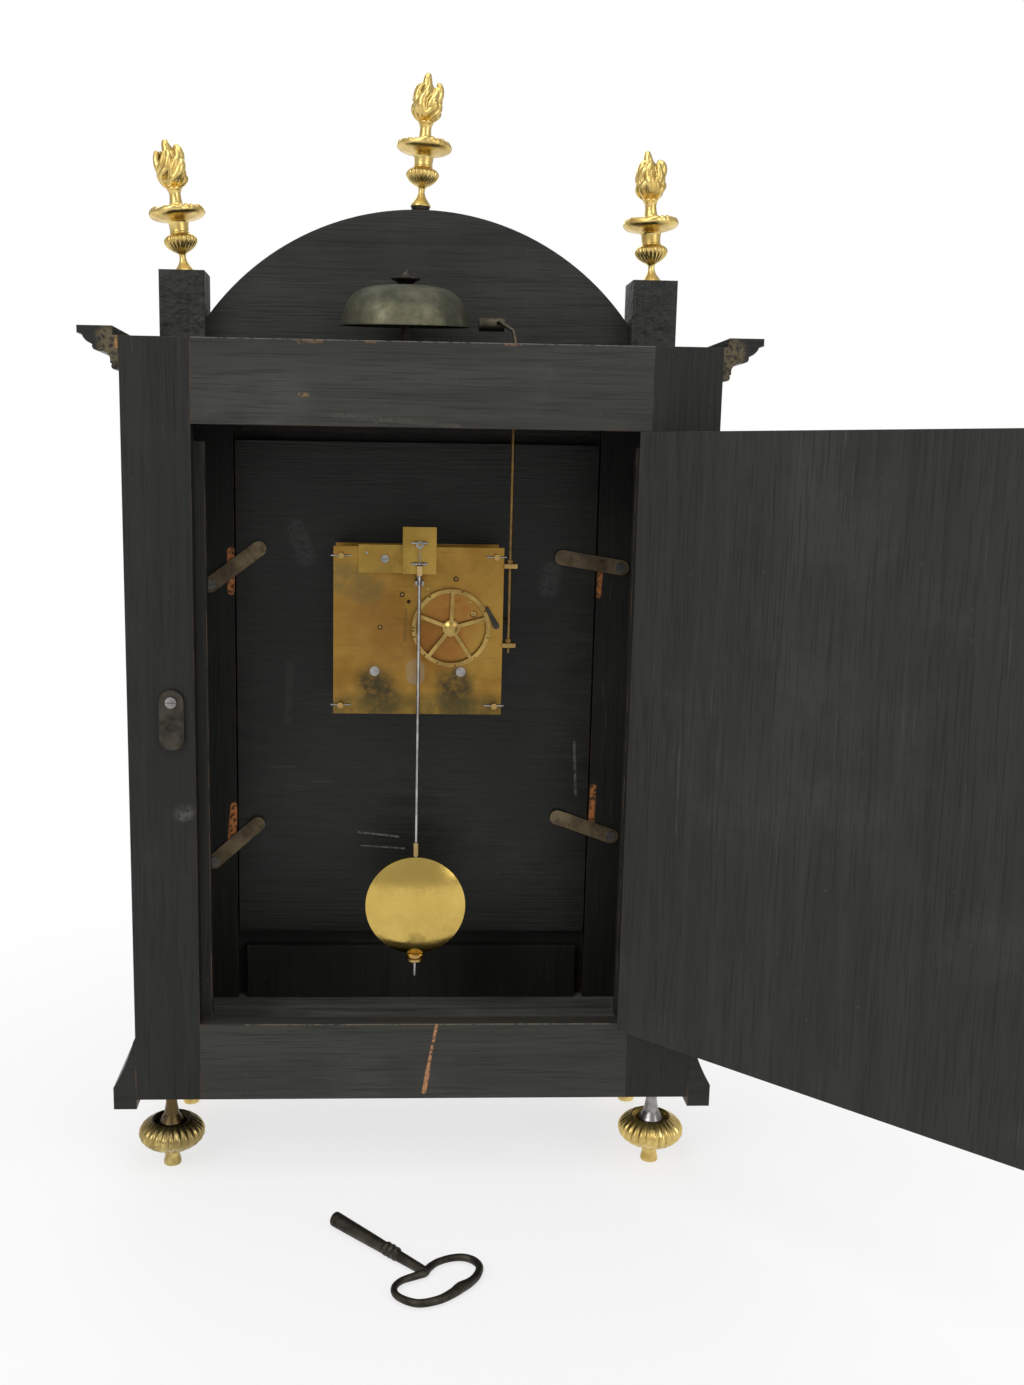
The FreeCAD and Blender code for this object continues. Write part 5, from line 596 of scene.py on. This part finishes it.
# where the outer finials and the centre one stand, in mm, and how far each leans, in degrees
OUTER_X, OUTER_Y, OUTER_Z = 144.75, -48.75, 540.5
CENTRE_Y, CENTRE_Z = -55.5, 584
LEAN_PLUS, LEAN_MINUS, LEAN_CENTRE = 6.3, 3.0, -3.2
finial("finial_plus", (OUTER_X, OUTER_Y, OUTER_Z), LEAN_PLUS, False, "plus", 11)
finial("finial_minus", (-OUTER_X, OUTER_Y, OUTER_Z), LEAN_MINUS, False, "minus", 12)
finial("finial_centre", (0, CENTRE_Y, CENTRE_Z), LEAN_CENTRE, True, "centre", 13)


# ---------------------------------------------------------------- feet

# (height, radius, flute depth) from the floor to the rim of the dished top
FOOT = [
    (0.0, 4.9, 0), (0.3, 5.3, 0), (1.8, 5.3, 0), (3.6, 4.9, 0), (5.6, 4.5, 0), (7.6, 4.7, 0),
    (9.2, 5.6, 0.2), (10.6, 8.2, 0.6), (12.4, 12.4, 1.1), (14.8, 16.4, 1.6), (17.6, 19.1, 1.9),
    (20.4, 20.0, 2.0), (22.8, 19.7, 1.9), (25.0, 18.4, 1.7), (26.8, 16.4, 1.3), (28.2, 14.2, 0.8),
    (29.1, 12.4, 0.2), (29.4, 11.6, 0), (28.8, 10.8, 0), (27.2, 10.2, 0), (26.4, 9.2, 0), (26.8, 8.4, 0),
    (26.6, 7.4, 0), (25.8, 6.0, 0), (25.2, 4.0, 0),
]


def foot(name, place, turn):
    count = 160
    rings = []
    for height, radius, flute in smooth_profile(FOOT, 3):
        ring = []
        for i in range(count):
            angle = math.tau * i / count
            r = radius - flute * (1 - wave(angle + turn, 26, 0.75))
            ring.append(((place[0] + r * math.cos(angle)) * MM, (place[1] + r * math.sin(angle)) * MM,
                         height * MM))
        rings.append(ring)
    vertices, faces = ring_mesh(rings)
    made = new_object(name, vertices, faces, GILT)
    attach(made, "case")
    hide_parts("feet")


FOOT_X, FOOT_Y = 148, 40.5
corners = ((FOOT_X, FOOT_Y), (-FOOT_X, FOOT_Y), (FOOT_X, -FOOT_Y), (-FOOT_X, -FOOT_Y))
for index, place in enumerate(corners):
    foot(f"foot_{index}", place, 0.13 * index)


# ---------------------------------------------------------------- bell, key and small metal pieces

def turned(profile, steps=4, sides=96, closed=False):
    """A lathe skin round Z through (height, radius) rows; closed joins the last ring to the first."""
    rows = smooth_profile(profile, steps) if steps > 1 else profile
    rings = [[Vector((r * math.cos(math.tau * i / sides), r * math.sin(math.tau * i / sides), z))
              for i in range(sides)] for z, r in rows]
    vertices, faces = ring_mesh(rings)
    if closed:
        faces = faces[:-2]
        last = (len(rings) - 1) * sides
        faces += [(last + i, last + (i + 1) % sides, (i + 1) % sides, i) for i in range(sides)]
    return vertices, faces


def put_piece(name, vertices, faces, matrix, material, body, slot, node=None):
    """A piece from mm points moved by a matrix, riding on a body."""
    made = new_object(name, [(matrix @ Vector(v)) * MM for v in vertices], faces, material)
    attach(made, body)
    if node:
        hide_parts(node)
    return made


# the bell's crown is at the end of its stand, and the bell leans towards the back of the case
BELL_CROWN, BELL_LEAN = (9.5, -2.5, 530.5), -4.5
bell_seat = Matrix.Translation(BELL_CROWN) @ Matrix.Rotation(math.radians(BELL_LEAN), 4, "X")

# (height from the crown, radius) rows of the two skins, from the rim up and back down
BELL_OUTSIDE = [(-24, 38.3), (-22.6, 38.1), (-20.4, 37.5), (-16, 36.4), (-11, 34.4), (-7, 31.4), (-4, 27.4),
                (-2.0, 22.0), (-0.9, 15.0), (-0.4, 8.0), (0.0, 4.0), (0.0, 1.95)]
BELL_INSIDE = [(-2.0, 1.95), (-2.0, 4.0), (-2.5, 8.0), (-3.1, 15.0), (-4.3, 21.4), (-6.3, 26.2), (-9.2, 29.8),
               (-12.6, 32.4), (-17, 34.2), (-21, 35.4), (-23.4, 36.2), (-24, 36.6)]
vertices, faces = turned(smooth_profile(BELL_OUTSIDE, 4) + smooth_profile(BELL_INSIDE, 4), 1, 128, True)
put_piece("bell_dome", vertices, faces, bell_seat, BELL, "case", "bell_bronze", "bell")
NUT = [(0.1, 1.9), (0.2, 4.4), (1.0, 5.2), (2.0, 7.4), (3.0, 8.5), (3.7, 8.3), (4.1, 6.2), (4.5, 3.2),
       (5.6, 2.4), (6.6, 2.0), (7.0, 1.0)]
vertices, faces = turned(NUT, 3, 48)
vertices = [Vector((v.x * (1 + 0.05 * math.sin(5 * math.atan2(v.y, v.x))), v.y, v.z)) for v in vertices]
put_piece("bell_thumb_nut", vertices, faces, bell_seat, IRON, "case", "dark_iron", "bell_nut")

# steel pins through the two blocks of the suspension, and a brass screw in the back plate
UPPER_PIN, LOWER_PIN, PIN_Y = 380.9, 368.6, 26
pins = (("suspension_pin_upper", UPPER_PIN, "case"), ("suspension_pin_lower", LOWER_PIN, "pendulum"))
for name, height, body in pins:
    pin = tube_mesh([(-4.2, PIN_Y, height, 0.75), (-1.5, PIN_Y, height + 0.05, 0.85),
                     (1.5, PIN_Y, height, 0.85), (4.6, PIN_Y, height + 0.1, 0.6)], 14)
    put_piece(name, *pin, Matrix.Identity(4), STEEL, body, "steel")
SCREW_PLACE = (-33.3, 12.45, 338.2)
screw_seat = Matrix.Translation(SCREW_PLACE) @ Matrix.Rotation(math.radians(-90), 4, "X")
vertices, faces = turned([(0.0, 2.0), (0.3, 2.1), (0.7, 1.8), (0.95, 1.1), (1.0, 0.3)], 3, 32)
put_piece("plate_screw", vertices, faces, screw_seat, BRASS, "case", "brass")

# the winding key lies on the floor: where its open end is, in mm, and where its bow points, in degrees
KEY_END, KEY_HEADING = (45.6, 112.8, 0), 135
key_place = Matrix.Translation(KEY_END) @ Matrix.Rotation(math.radians(KEY_HEADING), 4, "Z")

# (distance from the open end, radius) rows of the outside and of the square hole
KEY_TUBE = [(0.0, 3.6), (0.15, 4.1), (2.0, 4.15), (12, 3.95), (28, 3.6), (39, 3.3), (40, 3.2), (41, 3.75),
            (42.2, 3.75), (43.2, 3.15), (44.4, 3.75), (45.6, 3.75), (46.6, 3.1), (47.8, 3.65), (49, 3.6),
            (50, 3.0), (60, 2.75), (69, 2.5), (70.5, 2.2)]
KEY_BORE = [(8.0, 2.1), (1.0, 2.3), (0.0, 3.1)]
# the axis drops towards the bow over the drop length, and the tube stays clear of the floor
AXIS_HEIGHT, AXIS_DROP, DROP_LENGTH, FLOOR_GAP = 4.25, 1.3, 70.0, 0.05
sides = 40
rings = []
for along, radius in KEY_BORE + smooth_profile(KEY_TUBE, 3):
    level = max(AXIS_HEIGHT - AXIS_DROP * min(along / DROP_LENGTH, 1.0), radius + FLOOR_GAP)
    ring = []
    for i in range(sides):
        angle = math.tau * i / sides
        square = min(1 / max(abs(math.cos(angle)), 1e-6), 1 / max(abs(math.sin(angle)), 1e-6), 1.3)
        r = radius * (square if (along, radius) in KEY_BORE[:2] else 1)
        ring.append(Vector((along, r * math.cos(angle), level + r * math.sin(angle))))
    rings.append(ring)
vertices, faces = ring_mesh(rings)
put_piece("key_tube", vertices, faces, key_place, IRON, "key", "dark_iron", "winding_key")

# (distance from the open end, distance across, radius) rows round the bow, at one height
BOW_HEIGHT = 3.0
KEY_BOW = [(70.6, -0.4, 2.3), (69.2, 4.3, 2.1), (69.0, 10.8, 1.9), (71.6, 18.3, 1.9), (76.2, 23.7, 2.0),
           (82.2, 25.4, 2.1), (88.2, 23.2, 2.1), (92.2, 16.6, 2.2), (93.6, 9.3, 2.4), (93.0, 2.2, 2.9),
           (93.3, -4.2, 2.5), (92.0, -12.9, 2.2), (87.1, -21.8, 2.1), (80.1, -25.2, 2.0), (73.0, -25.2, 1.9),
           (68.1, -21.4, 1.8), (66.7, -15.0, 1.8), (68.7, -7.7, 2.0), (70.8, -1.5, 2.2)]
vertices, faces = tube_mesh([(a, b, BOW_HEIGHT, r) for a, b, r in KEY_BOW], 18, 5)
put_piece("key_bow", vertices, faces, key_place, IRON, "key", "dark_iron", "winding_key")


# ---------------------------------------------------------------- chapter ring's figures

def black_wax():
    s = Surface("black_wax", roughness=0.55, specular=0.3)
    s.colour(s.mix(s.spread(s.noise(300, 4, 0.7), 0.4, 0.7), (0.012, 0.012, 0.012), (0.035, 0.033, 0.03)))
    s.bump(s.noise(900, 3, 0.6), 0.00004, 0.5)
    return s.material


RING_FACE, RING_HEIGHT = -46.7, 335.0
# distances from the ring's centre in mm: foot of the hours, foot of the minutes, the two circles
HOUR_FOOT, MINUTE_FOOT, CIRCLES = 56.5, 72.2, (72.0, 75.6)
MINUTE_LENGTH, FIVE_MINUTE_WIDTH, MINUTE_WIDTH, CIRCLE_WIDTH = 3.2, 1.1, 0.5, 0.3
# each letter's width and its strokes as (x, z, x, z, width) rows
STROKES = {
    "I": (3.4, [(0, 0, 0, 13, 1.5)]),
    "V": (8.4, [(-3.4, 13, 0, 0, 1.7), (3.4, 13, 0, 0, 0.6)]),
    "X": (8.4, [(-3.2, 13, 3.2, 0, 1.7), (3.2, 13, -3.2, 0, 0.6)]),
}
HOURS = ["XII", "I", "II", "III", "IIII", "V", "VI", "VII", "VIII", "IX", "X", "XI"]


def ring_figures():
    """Roman hours, minute strokes and two circles, as thin wax fillings of the chapter ring."""
    vertices, faces = [], []

    def bar(corners):
        start = len(vertices)
        for depth in (RING_FACE + 0.1, RING_FACE - 0.08):
            vertices.extend((x * MM, depth * MM, (RING_HEIGHT + z) * MM) for x, z in corners)
        faces.append(tuple(start + i for i in range(4)))
        faces.append(tuple(start + i for i in (7, 6, 5, 4)))
        for i in range(4):
            j = (i + 1) % 4
            faces.append((start + i, start + i + 4, start + j + 4, start + j))

    def stroke(turn, foot, u0, v0, u1, v1, width):
        along = Vector((u1 - u0, v1 - v0)).normalized() * width / 2
        side = Vector((-along.y, along.x))
        flat = []
        for u, v in ((u0, v0), (u1, v1)):
            ends = ((u + side.x, v + side.y), (u - side.x, v - side.y))
            flat.extend(ends if not flat else ends[::-1])
        bar([(u * math.cos(turn) + (foot + v) * math.sin(turn),
              -u * math.sin(turn) + (foot + v) * math.cos(turn)) for u, v in flat])

    for hour, word in enumerate(HOURS):
        turn = math.tau * hour / 12
        place = -sum(STROKES[letter][0] for letter in word) / 2
        for letter in word:
            wide, strokes = STROKES[letter]
            for u0, v0, u1, v1, width in strokes:
                stroke(turn, HOUR_FOOT, place + wide / 2 + u0, v0, place + wide / 2 + u1, v1, width)
            place += wide
    for minute in range(60):
        width = FIVE_MINUTE_WIDTH if minute % 5 == 0 else MINUTE_WIDTH
        stroke(math.tau * minute / 60, MINUTE_FOOT, 0, 0, 0, MINUTE_LENGTH, width)
    for radius in CIRCLES:
        steps = 180
        for i in range(steps):
            a, b = math.tau * i / steps, math.tau * (i + 0.97) / steps
            bar([(r * math.sin(t), r * math.cos(t)) for r, t in
                 ((radius, a), (radius + CIRCLE_WIDTH, a), (radius + CIRCLE_WIDTH, b), (radius, b))])
    made = new_object("ring_figures", vertices, faces, black_wax(), smooth=False)
    mesh = bmesh.new()
    mesh.from_mesh(made.data)
    bmesh.ops.recalc_face_normals(mesh, faces=mesh.faces)
    mesh.to_mesh(made.data)
    mesh.free()
    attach(made, "case")


ring_figures()


# ---------------------------------------------------------------- floor, light and camera

def floor_material():
    """Pale floor that keeps the shadow near the object and turns plain white further out."""
    s = Surface("studio_floor", roughness=0.75, specular=0.2)
    s.colour(s.mix(s.spread(s.noise(1.5, 3, 0.5), 0.3, 0.7), (0.86, 0.86, 0.86), (0.88, 0.88, 0.88)))
    tree, shader = s.tree, s.shader
    output = tree.nodes["Material Output"]
    path = s.node("ShaderNodeLightPath")
    glow = s.node("ShaderNodeEmission")
    glow.inputs["Strength"].default_value = 1.0
    glow.inputs["Color"].default_value = (1, 1, 1, 1)
    seen = s.math("MAXIMUM", path.outputs["Is Camera Ray"],
                  s.math("MAXIMUM", path.outputs["Is Glossy Ray"], path.outputs["Is Transmission Ray"]))
    away = s.spread(s.vector("LENGTH", s.place), 0.18, 0.62, 0.72, 1.0)
    add = s.node("ShaderNodeMixShader")
    s.put(add.inputs[0], s.math("MULTIPLY", seen, away))
    tree.links.new(shader.outputs[0], add.inputs[1])
    tree.links.new(glow.outputs[0], add.inputs[2])
    tree.links.new(add.outputs[0], output.inputs["Surface"])
    return s.material


def backdrop():
    """A floor that stretches far around the object."""
    size = 30.0
    corners = [(-size, -size, 0), (size, -size, 0), (size, size, 0), (-size, size, 0)]
    made = new_object("studio_floor", corners, [(0, 1, 2, 3)], floor_material(), smooth=False)


backdrop()

world = bpy.data.worlds.new("studio")
bpy.context.scene.world = world
world.use_nodes = True
tree = world.node_tree
background = tree.nodes["Background"]
background.inputs["Color"].default_value = (1, 1, 1, 1)
background.inputs["Strength"].default_value = 0.5
bright = tree.nodes.new("ShaderNodeBackground")
bright.inputs["Color"].default_value = (1, 1, 1, 1)
bright.inputs["Strength"].default_value = 1.0
light_path = tree.nodes.new("ShaderNodeLightPath")
chooser = tree.nodes.new("ShaderNodeMixShader")
tree.links.new(light_path.outputs["Is Camera Ray"], chooser.inputs[0])
tree.links.new(background.outputs[0], chooser.inputs[1])
tree.links.new(bright.outputs[0], chooser.inputs[2])
tree.links.new(chooser.outputs[0], tree.nodes["World Output"].inputs["Surface"])


def lamp(name, place, target, size, power):
    data = bpy.data.lights.new(name, "AREA")
    data.shape = "RECTANGLE"
    data.size, data.size_y = size
    data.energy = power
    made = bpy.data.objects.new(name, data)
    bpy.context.scene.collection.objects.link(made)
    made.location = place
    aim = Vector(target) - Vector(place)
    made.rotation_euler = aim.to_track_quat("-Z", "Y").to_euler()


lamp("soft_left", (1.6, 2.0, 1.9), (0, 0, 0.3), (1.4, 1.4), 26)
lamp("soft_right", (-1.7, 1.8, 1.3), (0, 0, 0.3), (1.2, 1.6), 16)
lamp("overhead", (0.1, 0.3, 2.3), (0, 0, 0.3), (1.6, 1.6), 14)
lamp("dial_side", (0.3, -2.2, 1.6), (0, 0, 0.3), (1.6, 1.2), 16)


# the camera that was fitted to the photograph: degrees, m, and Blender's lens and shift
YAW, PITCH, ROLL = 2.68, -9.65, 0.91
CAMERA_PLACE = (0.0216, 0.8077, 0.4215)
LENS, SENSOR, SHIFT_X, SHIFT_Y = 34.56, 36, 0.0498, 0.0049


def photo_camera():
    """The photograph's view, from behind the clock and slightly above its middle."""
    yaw, pitch, roll = math.radians(YAW), math.radians(PITCH), math.radians(ROLL)
    forward = Vector((-math.sin(yaw) * math.cos(pitch), -math.cos(yaw) * math.cos(pitch), math.sin(pitch)))
    right = Vector((-math.cos(yaw), math.sin(yaw), 0))
    up = right.cross(forward)
    x = math.cos(roll) * right + math.sin(roll) * up
    y = math.cos(roll) * up - math.sin(roll) * right
    matrix = Matrix((x, y, -forward)).transposed().to_4x4()
    matrix.translation = Vector(CAMERA_PLACE)
    data = bpy.data.cameras.new("photo_camera")
    data.sensor_width = SENSOR
    data.lens = LENS
    data.shift_x = SHIFT_X
    data.shift_y = SHIFT_Y
    data.clip_start = 0.02
    made = bpy.data.objects.new("photo_camera", data)
    bpy.context.scene.collection.objects.link(made)
    made.matrix_world = matrix
    bpy.context.scene.camera = made


photo_camera()
bpy.context.scene.view_settings.view_transform = "Standard"
